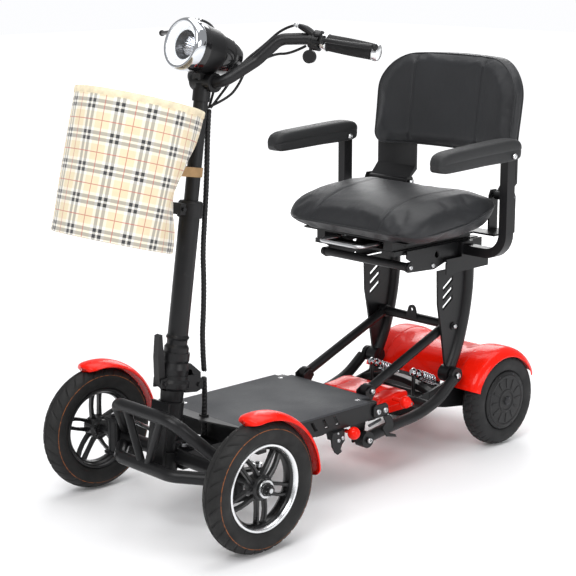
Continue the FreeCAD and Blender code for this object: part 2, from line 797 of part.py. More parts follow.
def brake_cables():
    """The two brake cables and the control lead, from the harness's top to the perches."""
    radius = size("cable_radius")
    cables = []
    top = at(-101, 2, 794)
    runs = {
        "left_brake": [top + Vector(0, 4, 0), at(-128, 30, 840), at(-150, 44, 880), at(-184, 66, 910),
                       at(-202, 100, 944), at(-200, 136, 950)],
        "left_lead": [top + Vector(4, -2, 0), at(-120, 34, 812), at(-138, 46, 838), at(-154, 48, 868),
                      at(-190, 88, 896), at(-200, 120, 896), at(-209, 153, 912)],
        "right_brake": [top + Vector(-3, -4, 0), at(-140, -20, 838), at(-160, -44, 878),
                        at(-186, -72, 914),
                        at(-204, -104, 944), at(-200, -136, 950)],
    }
    for points in runs.values():
        cables.append(tube_shape(points, largest_radii(points), radius))
    publish("brake_cables", feature("brake_cables_shape", Part.makeCompound(cables)))


def publish_cord(label, points, radius):
    radii = largest_radii(points)
    print(label, "radii", [round(value) for value in radii])
    shape = tube_shape(points, radii, radius)
    length = rounded_path(points, radii).Length
    print(label, "volume over section times length",
          round(shape.Volume / (math.pi * radius ** 2 * length), 4))
    publish(label, feature(label + "_shape", shape))


# ---------------------------------------------------------------- front wheels

def wheel_placement(station, y, z, side):
    """Local Z points outboard along the axle."""
    return Placement(at(station, y, z), Rotation(X_AXIS, -90 * side))


def front_wheel(name, side):
    """A tyre on a five-spoke rim, each spoke a pair of bars, with its two hub bearings."""
    outer = size("front_tyre_radius")
    half = size("front_tyre_width") / 2
    bead = size("front_bead_radius")
    place = wheel_placement(0, side * size("front_track") / 2, outer, side)
    tyre = [(bead, -18), (94, -half + 1), (104, -half), (115, -half + 4), (123, -14), (outer, -4)]
    tyre += [(radius, -height) for radius, height in reversed(tyre)]
    publish("front_tyre_" + name, turned("front_tyre_body_" + name, tyre, place))
    barrel = ring(bead - 0.2, 78, 34)
    barrel.translate(Vector(0, 0, -17))
    hub = ring(22, 8.05, 40)
    hub.translate(Vector(0, 0, -20))
    spokes = []
    for index in range(5):
        for offset in (-8, 8):
            spoke = Part.makeBox(62, 6, 14, Vector(18, offset - 3, -2))
            spoke.rotate(Vector(0, 0, 0), Z_AXIS, 72 * index + 90)
            spokes.append(spoke)
    wheel = barrel.fuse([hub] + spokes).cut(Part.makeCylinder(8.05, 60, Vector(0, 0, -30)))
    publish("front_rim_" + name, feature("front_rim_body_" + name, wheel, place))


def knuckle(name, side):
    """The kingpin barrel, stub axle, steering arm and fender stay of one front wheel, with its axle nut."""
    kingpin = side * size("kingpin_track") / 2
    track = side * size("front_track") / 2
    axle = size("front_tyre_radius")
    barrel = Part.makeCylinder(14, YOKE_HIGH - YOKE_LOW - 1, at(0, kingpin, YOKE_LOW + 0.5))
    stub = Part.makeCylinder(8, 96, at(0, kingpin, axle), Vector(0, side, 0))
    arm_y = kingpin + side * TIE_SPREAD / COUPLING
    reach = PITMAN_REACH / COUPLING
    angle = math.degrees(math.atan2(arm_y - kingpin, -reach))
    arm = Part.makeBox(math.hypot(reach, arm_y - kingpin), 14, 6, Vector(0, -7, 0))
    arm.Placement = Placement(at(0, kingpin, 138), Rotation(Z_AXIS, angle))
    boss = Part.makeCylinder(8, 6, at(-reach, arm_y, 138))
    stud = Part.makeCylinder(4, 10, at(-reach, arm_y, 144))
    nut = Part.makeCylinder(11, 9, at(0, track + side * 21, axle), Vector(0, side, 0))
    solid = barrel.fuse([stub, arm, boss, stud, nut])
    solid = solid.cut(Part.makeCylinder(size("kingpin_radius") + 0.05, 120, at(0, kingpin, 70)))
    publish("knuckle_" + name, feature("knuckle_body_" + name, solid))


def front_fender(name, side):
    """The red mudguard: a crowned section turned about the axle, on a stay from the knuckle's top."""
    axle = size("front_tyre_radius")
    track = size("front_track") / 2
    crown = 142
    edge = 133
    half = 30
    wall = 2.6

    def section(inset):
        low = Vector(edge - inset, 0, -half + inset)
        middle = Vector(crown - inset, 0, 0)
        high = Vector(edge - inset, 0, half - inset)
        return Part.Arc(low, middle, high).toShape(), low, high

    outer, outer_low, outer_high = section(0)
    inner, inner_low, inner_high = section(wall)
    edges = [outer, Part.LineSegment(outer_high, inner_high).toShape(), inner,
             Part.LineSegment(inner_low, outer_low).toShape()]
    face = Part.Face(Part.Wire(Part.__sortEdges__(edges)))
    front_angle = 75
    rear_angle = 184
    shell = face.revolve(Vector(0, 0, 0), Z_AXIS, rear_angle - front_angle)
    shell.rotate(Vector(0, 0, 0), Z_AXIS, front_angle if side < 0 else -rear_angle)
    shell.Placement = wheel_placement(0, side * track, axle, side).multiply(shell.Placement)
    publish("front_fender_" + name, feature("front_fender_shape_" + name, shell))


def tie_rod(name, side):
    """The track rod between the pitman plate and one knuckle, with an eye at each end."""
    inner = on_column(-PITMAN_REACH, side * TIE_SPREAD, PITMAN_HEIGHT)
    inner.z = 145.5
    kingpin = side * size("kingpin_track") / 2
    outer = at(-PITMAN_REACH / COUPLING, kingpin + side * TIE_SPREAD / COUPLING, 145.5)
    thick = 6
    rod = Part.makeCylinder(4.5, (outer - inner).Length, inner + Vector(0, 0, 3), outer - inner)
    eyes = [Part.makeCylinder(10.5, thick, inner), Part.makeCylinder(9, thick, outer)]
    bores = [Part.makeCylinder(7.5, 40, inner - Vector(0, 0, 20)),
             Part.makeCylinder(4.05, 40, outer - Vector(0, 0, 20))]
    solid = rod.fuse(eyes).cut(bores[0]).cut(bores[1])
    publish("tie_rod_" + name, feature("tie_rod_shape_" + name, solid))


# ---------------------------------------------------------------- rear frame and wheels

def rear_axle_x():
    return -size("wheel_base")


def rear_frame():
    """The two swept side tubes, their pivot bosses and socket lugs, and the cross tube between them."""
    pieces = []
    for side in SIDES.values():
        y = side * FRAME_Y
        x, z = FRAME_PIVOT
        points = [at(x - 10, y, z + 1), at(-488, y, 114), at(-560, y, 119), at(-624, y, 138),
                  at(-674, y, 175)]
        tube = tube_shape(points, largest_radii(points), size("frame_tube_radius"))
        boss = Part.makeCylinder(17, 24, at(x, y - 12, z), Y_AXIS)
        lug = Part.makeCylinder(17, 10, at(SEAT_PIVOT[0], y - 5 - side * 6, SEAT_PIVOT[1]), Y_AXIS)
        bolt = Part.makeCylinder(6, 44, at(SEAT_PIVOT[0], side * 94, SEAT_PIVOT[1]), Vector(0, side, 0))
        side_piece = tube.fuse([boss, lug, bolt])
        bore = Part.makeCylinder(6.05, 60, at(x, y - 30, z), Y_AXIS)
        pieces.append(side_piece.cut(bore))
    bridge = Part.makeCylinder(11, 2 * FRAME_Y, at(-600, -FRAME_Y, 129), Y_AXIS)
    tubes = feature("rear_tubes", bridge.fuse(pieces))
    publish("rear_frame", fuse("rear_frame_welded", [tubes] + axle_carriers() + rear_axles()))


def axle_carriers():
    """The two dropout plates that hold the hub motors' axles, joined by a rear cross bar."""
    outline = [(-594, 122), (-594, 138), (-690, 158), (-790, 136), (-838, 118), (-838, 90), (-790, 86),
               (-690, 100)]
    plates = []
    for name, side in SIDES.items():
        plates.append(side_plate("dropout_" + name, outline, 6, side * 100))
    bars = [cylinder("carrier_bar_%d" % x, at(x, -98, z), Y_AXIS, 8, 196) for x,
            z in ((-650, 128), (-770, 112))]
    return plates + bars


def controller_cover():
    """The red box between the rear tubes that holds the battery and the controller."""
    outline = [(-484, 120), (-484, 140), (-500, 154), (-575, 160), (-584, 152), (-584, 120)]
    publish("controller_cover", side_plate("controller_cover_body", outline, 204, 0))


def rear_cover():
    """The red rear cover: a hollow hump between two wheel arches."""
    wall = 3
    outline = [(-712, 150), (-724, 176), (-752, 200), (-800, 213), (-868, 203), (-912, 168), (-928, 128)]

    def hump(points, half, floor):
        corners = [at(x, -half, z) for x, z in points + [(points[-1][0], floor), (points[0][0], floor)]]
        return Part.Face(Part.makePolygon(corners + corners[:1])).extrude(Vector(0, 2 * half, 0))

    inner = [(x + (3 if x < -800 else -3), z - wall) for x, z in outline]
    floor = 124
    shell = hump(outline, 112, floor).cut(hump(inner, 109, floor - 18))
    for side in SIDES.values():
        gap_low = min(side * 96, side * 104)
        shell = shell.cut(Part.makeBox(20, 8, 40, at(-722, gap_low, 120)))
    publish("rear_cover", feature("rear_cover_shape",
                                  shell.fuse([wheel_arch(side) for side in SIDES.values()])))


def wheel_arch(side):
    """A crowned arch over one rear wheel: an open section turned about the axle."""
    outer = [(109, 119), (140, 119), (154, 117), (164, 111), (171, 101)]
    inner = [(168, 99), (162, 108), (152, 114), (140, 116), (112, 116), (112, 84), (109, 84)]
    axle = at(rear_axle_x(), 0, size("rear_tyre_radius"))
    section = [axle + Vector(0, side * y, radius) for y, radius in outer + inner]
    face = Part.Face(Part.makePolygon(section + section[:1]))
    front_reach = 70
    rear_reach = 65
    face.rotate(axle, Y_AXIS, front_reach)
    return face.revolve(axle, Vector(0, -1, 0), front_reach + rear_reach)


def dampers():
    """The two short chrome dampers between the cross bar and the dropouts."""
    pieces = []
    for side in SIDES.values():
        start = at(-622, side * 62, 166)
        end = at(-704, side * 62, 186)
        along = end - start
        body = Part.makeCylinder(9, 34, start, along)
        core = Part.makeCylinder(7.5, along.Length - 6, start, along)
        coils = [Part.makeCylinder(10.6, 3, start + direction(start, end) * (36 + 5.5 * turn),
                                   along) for turn in range(6)]
        stay_low = Part.makeCylinder(7, 16, start + Vector(0, -8, 0), Y_AXIS)
        stay_high = Part.makeCylinder(7, 16, end + Vector(0, -8, 0), Y_AXIS)
        foot = Part.makeBox(8, 10, 34, at(-626, side * 62 - 5, 132))
        post = Part.makeBox(8, 10, 64, at(-708, side * 62 - 5, 122))
        pieces.append(body.fuse([core, stay_low, stay_high, foot, post] + coils))
    link = Part.makeBox(10, 190, 10, at(-710, -95, 118))
    publish("dampers", feature("dampers_shape", link.fuse(pieces)))


def rear_wheel(name, side):
    """A hub motor on its axle, with a block-tread tyre."""
    outer = size("rear_tyre_radius")
    half = size("rear_tyre_width") / 2
    hub = size("hub_radius")
    place = wheel_placement(rear_axle_x(), side * size("rear_track") / 2, outer, side)
    tyre = [(hub, -22), (80, -half), (92, -half + 2), (100, -half + 8), (outer, -6)]
    tyre += [(radius, -height) for radius, height in reversed(tyre)]
    publish("rear_tyre_" + name, turned("rear_tyre_body_" + name, tyre, place))
    motor = [(5.95, -40), (18, -40), (18, -27), (hub - 4, -27), (hub - 0.2, -22), (hub - 0.2, 22)]
    motor += [(hub - 4, 26), (30, 28.5), (5.95, 28.5)]
    publish("hub_motor_" + name, turned("hub_motor_body_" + name, motor, place))


def rear_axles():
    """The fixed axle of each hub motor, bolted through its dropout."""
    axles = []
    for side in SIDES.values():
        start = at(rear_axle_x(), side * 88, size("rear_tyre_radius"))
        axle = Part.makeCylinder(5.9, 88, start, Vector(0, side, 0))
        nut = Part.makeCylinder(10, 7, start, Vector(0, side, 0))
        axles.append(axle.fuse(nut))
    return [feature("rear_axle_%d" % index, axle) for index, axle in enumerate(axles)]


# ---------------------------------------------------------------- seat frame

def uprights():
    """Each upright is a bent tube with a slotted gusset plate in front of it."""
    x, z = SEAT_PIVOT
    sides = []
    for side in SIDES.values():
        y = side * UPRIGHT_Y
        points = [at(x, y, z), at(-718, y, 240), at(-738, y, 310), at(-747, y, 370), at(-747, y, 437)]
        tube = tube_shape(points, largest_radii(points), size("upright_tube_radius"))
        lug = Part.makeCylinder(18, 26, at(x, y - 13, z), Y_AXIS)
        corners = [(-646, 414), (-649, 340), (-660, 288), (-676, 200), (-700, 196), (-718, 240),
                   (-738, 310), (-744, 414)]
        outline = [at(a, y - 2.5, b) for a, b in corners]
        gusset = Part.Face(Part.makePolygon(outline + outline[:1])).extrude(Vector(0, 5, 0))
        for index in range(3):
            slot_z = 346 + 21 * index
            slot = [at(-664, y - 9, slot_z - 22), at(-664, y - 9, slot_z - 12),
                    at(-696, y - 9, slot_z + 10), at(-696, y - 9, slot_z)]
            gusset = gusset.cut(Part.Face(Part.makePolygon(slot + slot[:1])).extrude(Vector(0, 18, 0)))
        solid = gusset.fuse([tube, lug])
        solid = solid.cut(Part.makeCylinder(6.05, 60, at(x, y - 30, z), Y_AXIS))
        sides.append(solid.cut(Part.makeCylinder(8.5, 60, at(STRUT_HEAD[0], y - 30, STRUT_HEAD[1]),
                                                 Y_AXIS)))
    publish("uprights", feature("uprights_shape", Part.makeCompound(sides)))


EYE_HEIGHT = 305
EYE_RADIUS = 4.1


def upright_cross_tube():
    """The tube between the struts' heads, its bolt through them and both uprights, and the tie-down eye."""
    x, z = STRUT_HEAD
    half = STRUT_Y - 10.6
    tube = Part.makeCylinder(10, 2 * half, at(x, -half, z), Y_AXIS)
    bolt = Part.makeCylinder(5, 2 * UPRIGHT_Y, at(x, -UPRIGHT_Y, z), Y_AXIS)
    collars = []
    for side in SIDES.values():
        collars.append(Part.makeCylinder(8.4, 11, at(x, side * (STRUT_Y + 10.6), z), Vector(0, side, 0)))
    front = x + 12.5
    crown = Part.makeCylinder(10, 5, at(front - 5, 0, EYE_HEIGHT), X_AXIS)
    outline = [at(front - 5, -16.5, z + 1), at(front - 5, 16.5, z + 1),
               at(front - 5, 9.3, EYE_HEIGHT + 3.6)]
    outline += [at(front - 5, -9.3, EYE_HEIGHT + 3.6)]
    tab = Part.Face(Part.makePolygon(outline + outline[:1])).extrude(Vector(5, 0, 0))
    hole = Part.makeCylinder(EYE_RADIUS, 12, at(front - 9, 0, EYE_HEIGHT), X_AXIS)
    shape = tube.fuse([bolt, tab, crown] + collars).cut(hole)
    publish("upright_cross_tube", feature("cross_tube_shape", shape))


RAIL_Y = 98


POST_CENTRE = (-714.5, 457)


def seat_bracket():
    """The fixed tray under the seat: two side plates, a base plate, the arm sockets and the lower rails."""
    pieces = []
    outline = [(-534, 474), (-534, 458), (-548, 450), (-532, 450), (-527, 443), (-528, 434), (-538, 428),
               (-620, 424)]
    outline += [(-652, 434), (-776, 440), (-776, 474)]
    shoe = [(-646, 410), (-785, 412), (-785, 440), (-652, 440), (-646, 434)]
    for name, side in SIDES.items():
        hole = [((-628, 455), 7)]
        pieces.append(side_plate("seat_side_" + name, outline, 4, side * 120, holes=hole))
        pieces.append(side_plate("upright_shoe_" + name, shoe, 4, side * 132))
        pieces.append(box("lower_rail_" + name, at(-770, side * RAIL_Y - 17.5, 466),
                          at(-500, side * RAIL_Y + 17.5, 476)))
    pieces.append(box("seat_base", at(-785, -134, 437.2), at(-646, 134, 443)))
    post = POST_CENTRE[0]
    socket = box("arm_socket", at(post - 18.5, -134, 443), at(post + 19.5, 134, 474))
    hollow = box("arm_socket_hollow", at(post - 12.7, -150, 446.8), at(post + 12.7, 150, 467.2))
    for x in (-538, -640):
        pieces.append(box("rail_tie_%d" % -x, at(x - 14, -118, 466), at(x + 10, 118, 471)))
    pieces.append(cylinder("carry_bar", at(-538, -128, 440), Y_AXIS, 9, 256))
    welded = fuse("seat_bracket_welded", pieces + [socket])
    publish("seat_bracket", cut("seat_bracket_cut", welded, hollow))


ARM_PIVOT = (-706, 670)


def arm_posts():
    """The two bent posts of rectangular tube that carry the armrests."""
    offset = size("arm_offset")
    centre_x, centre_z = POST_CENTRE
    points = [at(centre_x, 60, centre_z), at(centre_x, offset, centre_z), at(centre_x, offset, 680)]
    corners = [at(centre_x - 12.5, 60, centre_z - 10), at(centre_x + 12.5, 60, centre_z - 10)]
    corners += [at(centre_x + 12.5, 60, centre_z + 10), at(centre_x - 12.5, 60, centre_z + 10)]
    post = swept(points, [46], Part.makePolygon(corners + corners[:1]))
    post = post.fuse(Part.makeCylinder(5, 46, at(ARM_PIVOT[0], offset - 23, ARM_PIVOT[1]), Y_AXIS))
    posts = [post, mirror_y(post)]
    publish("arm_posts", feature("arm_posts_shape", Part.makeCompound(posts)))


def arm_pad(name, side):
    """An armrest with a turned-down tip, a notch in its underside and a slot for its post."""
    offset = side * size("arm_offset")
    outline = [(-480, 672), (-481, 662), (-487, 655), (-497, 652.5), (-549, 653), (-620, 657),
               (-690, 658), (-724, 660)]
    outline += [(-736, 668), (-739, 688), (-730, 702), (-712, 706), (-600, 700), (-506, 694), (-489, 688)]
    body = doc.addObject("PartDesign::Body", "arm_pad_body_" + name)
    profile = sketch_in(body, "XZ_Plane", "arm_pad_profile_" + name)
    draw_outline(profile, outline)
    pad = body.newObject("PartDesign::Pad", "arm_pad_pad_" + name)
    pad.Profile = profile
    pad.SideType = "Symmetric"
    bind(pad, {"Length": "2 * Sizes.pad_half_width"})
    body.Placement = Placement(at(0, offset, 0), Rotation())
    slot = box("arm_pad_slot_" + name, at(-770, offset - 10.4, 640), at(-690, offset + 10.4, 694))
    bore = cylinder("arm_pad_bore_" + name, at(ARM_PIVOT[0], offset - 30, ARM_PIVOT[1]), Y_AXIS, 5.05, 60)
    publish("arm_pad_" + name, cut("arm_pad_cut_" + name, body,
                                   fuse("arm_pad_tool_" + name, [slot, bore])))


def struts():
    """The two folding struts from the deck's rear corners up to the uprights."""
    sides = []
    foot = at(STRUT_FOOT[0], 0, STRUT_FOOT[1])
    head = at(STRUT_HEAD[0], 0, STRUT_HEAD[1])
    for side in SIDES.values():
        shift = Vector(0, side * STRUT_Y, 0)
        tube = Part.makeCylinder(size("strut_tube_radius"), (head - foot).Length, foot + shift,
                                 head - foot)
        eyes = [Part.makeCylinder(14, 16, end + shift - Vector(0, 8, 0), Y_AXIS) for end in (foot, head)]
        solid = tube.fuse(eyes)
        solid = solid.cut(Part.makeCylinder(5.05, 40, head + shift - Vector(0, 20, 0), Y_AXIS))
        sides.append(solid.cut(Part.makeCylinder(9.5, 40, foot + shift - Vector(0, 20, 0), Y_AXIS)))
    publish("struts", feature("struts_shape", Part.makeCompound(sides)))


# ---------------------------------------------------------------- seat

BACK_HINGE = (-766, 572)
WIRE_PIVOT = (-540, 486)
WIRE_RADIUS = 3.5
EAR_PAIRS = ((-208, -84), (158, 206))


def seat_pan():
    """The sliding pan: upper rails, the plate under the cushion and the ears of the backrest hinge."""
    pieces = []
    for side in SIDES.values():
        pieces.append(Part.makeBox(250, 24, 18, at(-750, side * RAIL_Y - 12, 476.4)))
    pieces.append(Part.makeBox(252, 300, 4, at(-752, -150, 494)))
    pieces.append(Part.makeBox(40, 412, 4, at(-752, -206, 494)))
    x, z = BACK_HINGE
    for pair in EAR_PAIRS:
        for y in pair:
            low = y - 2
            corners = [(x - 14, 494), (x - 14, z), (x - 8, z + 12), (x + 8, z + 12), (x + 14, z),
                       (x + 14, 494)]
            outline = [at(a, low, b) for a, b in corners]
            pieces.append(Part.Face(Part.makePolygon(outline + outline[:1])).extrude(Vector(0, 4, 0)))
        pieces.append(Part.makeBox(30, pair[1] - pair[0] + 4, 4, at(x - 14, pair[0] - 2, 494)))
        pieces.append(Part.makeCylinder(5, pair[1] - pair[0] + 8, at(x, pair[0] - 4, z), Y_AXIS))
    pan = pieces[0].fuse(pieces[1:])
    for side in SIDES.values():
        start = at(WIRE_PIVOT[0], side * (RAIL_Y - 20), WIRE_PIVOT[1])
        pan = pan.cut(Part.makeCylinder(WIRE_RADIUS + size("running_gap"), 40, start, Vector(0, side, 0)))
    publish("seat_pan", feature("seat_pan_shape", pan))


def seat_cushion():
    """The seat cushion: rounded in plan, with its front edge turned down."""
    half = size("seat_half_width")
    low = size("seat_bottom") - 11
    top = size("seat_top")
    side_view = [(-744, low + 12), (-744, top - 18), (-728, top), (-590, top), (-500, top - 10),
                 (-466, top - 34)]
    side_view += [(-456, low + 10), (-462, low), (-560, low), (-700, low + 8)]
    outline = [at(a, -half, b) for a, b in side_view]
    block = Part.Face(Part.makePolygon(outline + outline[:1])).extrude(Vector(0, 2 * half, 0))
    plan_points = [at(-744, -half, 0), at(-456, -half, 0), at(-456, half, 0), at(-744, half, 0)]
    plan = rounded_loop(plan_points, [26, 90, 90, 26], Z_AXIS)
    solid = block.common(Part.Face(plan).extrude(Vector(0, 0, 900)))
    publish("seat_cushion", feature("seat_cushion_shape", solid))


def rounded_loop(points, radii, normal):
    """A closed loop with every corner rounded."""
    count = len(points)
    edges = []
    ends = []
    for index in range(count):
        before, corner, after = points[index - 1], points[index], points[(index + 1) % count]
        inward = direction(corner, before)
        outward = direction(corner, after)
        half_angle = inward.getAngle(outward) / 2
        radius = radii[index]
        reach = radius / math.tan(half_angle)
        middle = corner + (inward + outward).normalize() * (radius / math.sin(half_angle) - radius)
        ends.append((corner + inward * reach, middle, corner + outward * reach))
    for index in range(count):
        start, middle, end = ends[index]
        edges.append(Part.Arc(start, middle, end).toShape())
        edges.append(Part.LineSegment(end, ends[(index + 1) % count][0]).toShape())
    return Part.Wire(edges)


def backrest_cushion():
    """The wrapped backrest: a curved slab with rounded corners, slotted for its two brackets."""
    half = size("back_half_width")
    low = size("back_bottom")
    top = size("back_top")
    wide = half + 12
    front_side, front_middle = -748, -790
    rear_side, rear_middle = -794, -834
    front = Part.Arc(at(front_side, -wide, 0), at(front_middle, 0, 0), at(front_side, wide, 0)).toShape()
    rear = Part.Arc(at(rear_side, wide, 0), at(rear_middle, 0, 0), at(rear_side, -wide, 0)).toShape()
    ends = [Part.LineSegment(at(front_side, wide, 0), at(rear_side, wide, 0)).toShape()]
    ends.append(Part.LineSegment(at(rear_side, -wide, 0), at(front_side, -wide, 0)).toShape())
    slab = Part.Face(Part.Wire([front, ends[0], rear, ends[1]])).extrude(Vector(0, 0, 900))
    corners = [at(-900, -half, low), at(-900, half, low), at(-900, half, top), at(-900, -half, top)]
    window = Part.Face(rounded_loop(corners, [30, 30, 100, 100], X_AXIS)).extrude(Vector(250, 0, 0))
    solid = slab.common(window)
    for low_y, high_y in BRACKETS:
        solid = solid.cut(bracket_tongue(low_y - 0.6, high_y + 0.6, 0.6))
    publish("backrest_cushion", feature("backrest_cushion_shape", solid))


BRACKETS = ((-204, -88), (166, 198))
TONGUE = (-796, -790)


def bracket_tongue(low_y, high_y, gap=0):
    low = at(TONGUE[0] - gap, low_y, BACK_HINGE[1] + 10)
    return Part.makeBox(TONGUE[1] - TONGUE[0] + 2 * gap, high_y - low_y, 130 + gap, low)


def backrest_brackets():
    """A wide plate on the right and a narrow one on the left, both on the hinge axis."""
    x, z = BACK_HINGE
    brackets = []
    for low_y, high_y in BRACKETS:
        width = high_y - low_y
        barrel = Part.makeCylinder(9, width, at(x, low_y, z), Y_AXIS)
        corners = [at(x + 2, low_y, z + 5), at(x - 8, low_y, z + 8), at(TONGUE[0], low_y, z + 26),
                   at(TONGUE[1], low_y, z + 34)]
        web = Part.Face(Part.makePolygon(corners + corners[:1])).extrude(Vector(0, width, 0))
        tongue = Part.makeBox(TONGUE[1] - TONGUE[0], width, 110, at(TONGUE[0], low_y, z + 26))
        bore = Part.makeCylinder(5.05, 420, at(x, -210, z), Y_AXIS)
        brackets.append(barrel.fuse([web, tongue]).cut(bore))
    publish("backrest_brackets", feature("backrest_brackets_shape", Part.makeCompound(brackets)))


def seat_release_wire():
    """The bent wire under the front of the seat that frees the slide."""
    half = 60
    x, z = WIRE_PIVOT
    front = -456
    points = [at(x, -RAIL_Y, z), at(x, -half, z), at(front, -half, z - 2)]
    points += [at(front, half, z - 2), at(x, half, z), at(x, RAIL_Y, z)]
    publish("seat_release_wire", feature("release_wire_shape",
                                         tube_shape(points, [8, 14, 14, 8], WIRE_RADIUS)))


def latch_knobs():
    """The two red balls whose plungers lock the folding frame."""
    knobs = []
    for x, root, centre, z in ((-346, 130, 154, 129.5), (-515, 105, 141, 157)):
        stalk = Part.makeCylinder(4, centre - root - 6, at(x, root, z), Y_AXIS)
        knobs.append(stalk.fuse(Part.makeSphere(13.2, at(x, centre, z))))
    publish("latch_knob_front", feature("latch_knob_front_shape", knobs[0]))
    publish("latch_knob_rear", feature("latch_knob_rear_shape", knobs[1]))


front_frame()
front_bumper()
neck_cover()
deck_plate()
deck_side_rails()
deck_lugs()
frame_bolts()
steering_stem()
fold_latch_lever()
tiller_lower_tube()
height_clamp()
clamp_lever()
tiller_upper_tube()
handlebar()
grips()
grip_trims()
control_perches()
brake_levers()
thumb_throttle()
lamp()
basket()
basket_strap()
harness_lower()
harness_upper()
brake_cables()
for side_name, side_sign in SIDES.items():
    front_wheel(side_name, side_sign)
    knuckle(side_name, side_sign)
    front_fender(side_name, side_sign)
    tie_rod(side_name, side_sign)
    rear_wheel(side_name, side_sign)
    arm_pad(side_name, side_sign)
rear_frame()
controller_cover()
rear_cover()
dampers()
uprights()
upright_cross_tube()
seat_bracket()
arm_posts()
struts()
seat_pan()
seat_cushion()
backrest_cushion()
backrest_brackets()
seat_release_wire()
latch_knobs()

doc.recompute()
failed = [thing.Name for thing in doc.Objects if "Invalid" in thing.State or "Error" in thing.State]
for label, thing in sub_parts.items():
    if thing.Shape.isNull() or not thing.Shape.isValid():
        failed.append(label)
if failed:
    raise RuntimeError("these did not build: %s" % failed)
os.makedirs("parts", exist_ok=True)
for label, thing in sub_parts.items():
    thing.Shape.exportStep("parts/%s.step" % label)
print(len(sub_parts), "sub-parts written")
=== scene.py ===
import bmesh
import bpy
import json
import math
from mathutils import Matrix, Vector, noise
from mathutils.bvhtree import BVHTree


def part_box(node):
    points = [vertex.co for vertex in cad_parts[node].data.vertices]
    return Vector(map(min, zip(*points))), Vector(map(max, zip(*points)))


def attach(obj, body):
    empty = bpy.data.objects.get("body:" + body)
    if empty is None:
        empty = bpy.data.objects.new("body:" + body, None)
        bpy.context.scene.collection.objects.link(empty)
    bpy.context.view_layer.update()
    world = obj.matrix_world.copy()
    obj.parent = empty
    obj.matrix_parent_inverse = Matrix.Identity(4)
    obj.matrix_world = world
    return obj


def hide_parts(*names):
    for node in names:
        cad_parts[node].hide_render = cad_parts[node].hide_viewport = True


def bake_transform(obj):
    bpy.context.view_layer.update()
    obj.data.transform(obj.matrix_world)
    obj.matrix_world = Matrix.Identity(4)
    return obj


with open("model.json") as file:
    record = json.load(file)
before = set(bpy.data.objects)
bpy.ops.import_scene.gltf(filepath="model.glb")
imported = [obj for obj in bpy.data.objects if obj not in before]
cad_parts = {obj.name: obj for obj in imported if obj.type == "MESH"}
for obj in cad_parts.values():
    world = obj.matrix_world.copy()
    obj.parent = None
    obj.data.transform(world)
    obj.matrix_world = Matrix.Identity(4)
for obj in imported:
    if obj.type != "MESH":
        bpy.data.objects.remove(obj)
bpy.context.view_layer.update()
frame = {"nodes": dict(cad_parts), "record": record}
NODES = frame["nodes"]

# Stations run forward from the front axle, in millimetres, as Y runs left and Z up from the floor.
low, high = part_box("front_tyre_left")
AXLE_X = (low[0] + high[0]) / 2


def at(x, y, z):
    return Vector((AXLE_X + x / 1000, y / 1000, z / 1000))


SIDES = {"left": 1, "right": -1}


# ---------------------------------------------------------------- camera and light

CAMERA_PLACE = (1792.75, 2211.42, 1097.13)
CAMERA_AZIMUTH = math.radians(46.327)
CAMERA_ELEVATION = math.radians(12.685)
LENS = 95.805
LENS_SHIFT = (-0.0061, 0.0012)


def set_camera():
    azimuth, elevation = CAMERA_AZIMUTH, CAMERA_ELEVATION
    back = Vector((math.cos(azimuth) * math.cos(elevation), math.sin(azimuth) * math.cos(elevation),
                   math.sin(elevation)))
    right = Vector((0, 0, 1)).cross(back).normalized()
    up = back.cross(right)
    turn = Matrix((right, up, back)).transposed().to_4x4()
    data = bpy.data.cameras.new("camera")
    data.lens = LENS
    data.sensor_width = 36
    data.shift_x, data.shift_y = LENS_SHIFT
    data.clip_end = 60
    camera = bpy.data.objects.new("camera", data)
    bpy.context.scene.collection.objects.link(camera)
    camera.matrix_world = Matrix.Translation(at(*CAMERA_PLACE)) @ turn
    bpy.context.scene.camera = camera


def area_light(name, place, aim, size, power):
    data = bpy.data.lights.new(name, "AREA")
    data.shape = "RECTANGLE"
    data.size = size[0]
    data.size_y = size[1]
    data.energy = power
    light = bpy.data.objects.new(name, data)
    light.location = place
    light.rotation_euler = (Vector(aim) - Vector(place)).to_track_quat("-Z", "Y").to_euler()
    bpy.context.scene.collection.objects.link(light)


LIGHT_FROM_WORLD = 0.42
BACKDROP = 1.0


def set_studio():
    """Four soft lights and a white surround that looks brighter than the light it gives."""
    area_light("key_light", (2.4, 1.0, 2.8), (0, 0, 0.4), (1.8, 1.8), 62)
    area_light("side_light", (-0.2, 3.4, 1.5), (-0.1, 0, 0.4), (2.2, 1.2), 34)
    area_light("top_light", (-0.6, -0.2, 3.2), (-0.2, 0, 0.3), (3.0, 3.0), 72)
    area_light("back_light", (-2.6, -2.0, 1.8), (0, 0, 0.5), (1.6, 1.6), 30)
    world = bpy.data.worlds.new("studio")
    world.use_nodes = True
    tree = world.node_tree
    background = tree.nodes["Background"]
    background.inputs["Color"].default_value = (0.98, 0.985, 1.0, 1)
    path = tree.nodes.new("ShaderNodeLightPath")
    strength = tree.nodes.new("ShaderNodeMapRange")
    tree.links.new(path.outputs["Is Camera Ray"], strength.inputs[0])
    strength.inputs[3].default_value = LIGHT_FROM_WORLD
    strength.inputs[4].default_value = BACKDROP
    tree.links.new(strength.outputs[0], background.inputs["Strength"])
    bpy.context.scene.world = world
    bpy.context.scene.view_settings.view_transform = "Standard"


# ---------------------------------------------------------------- materials

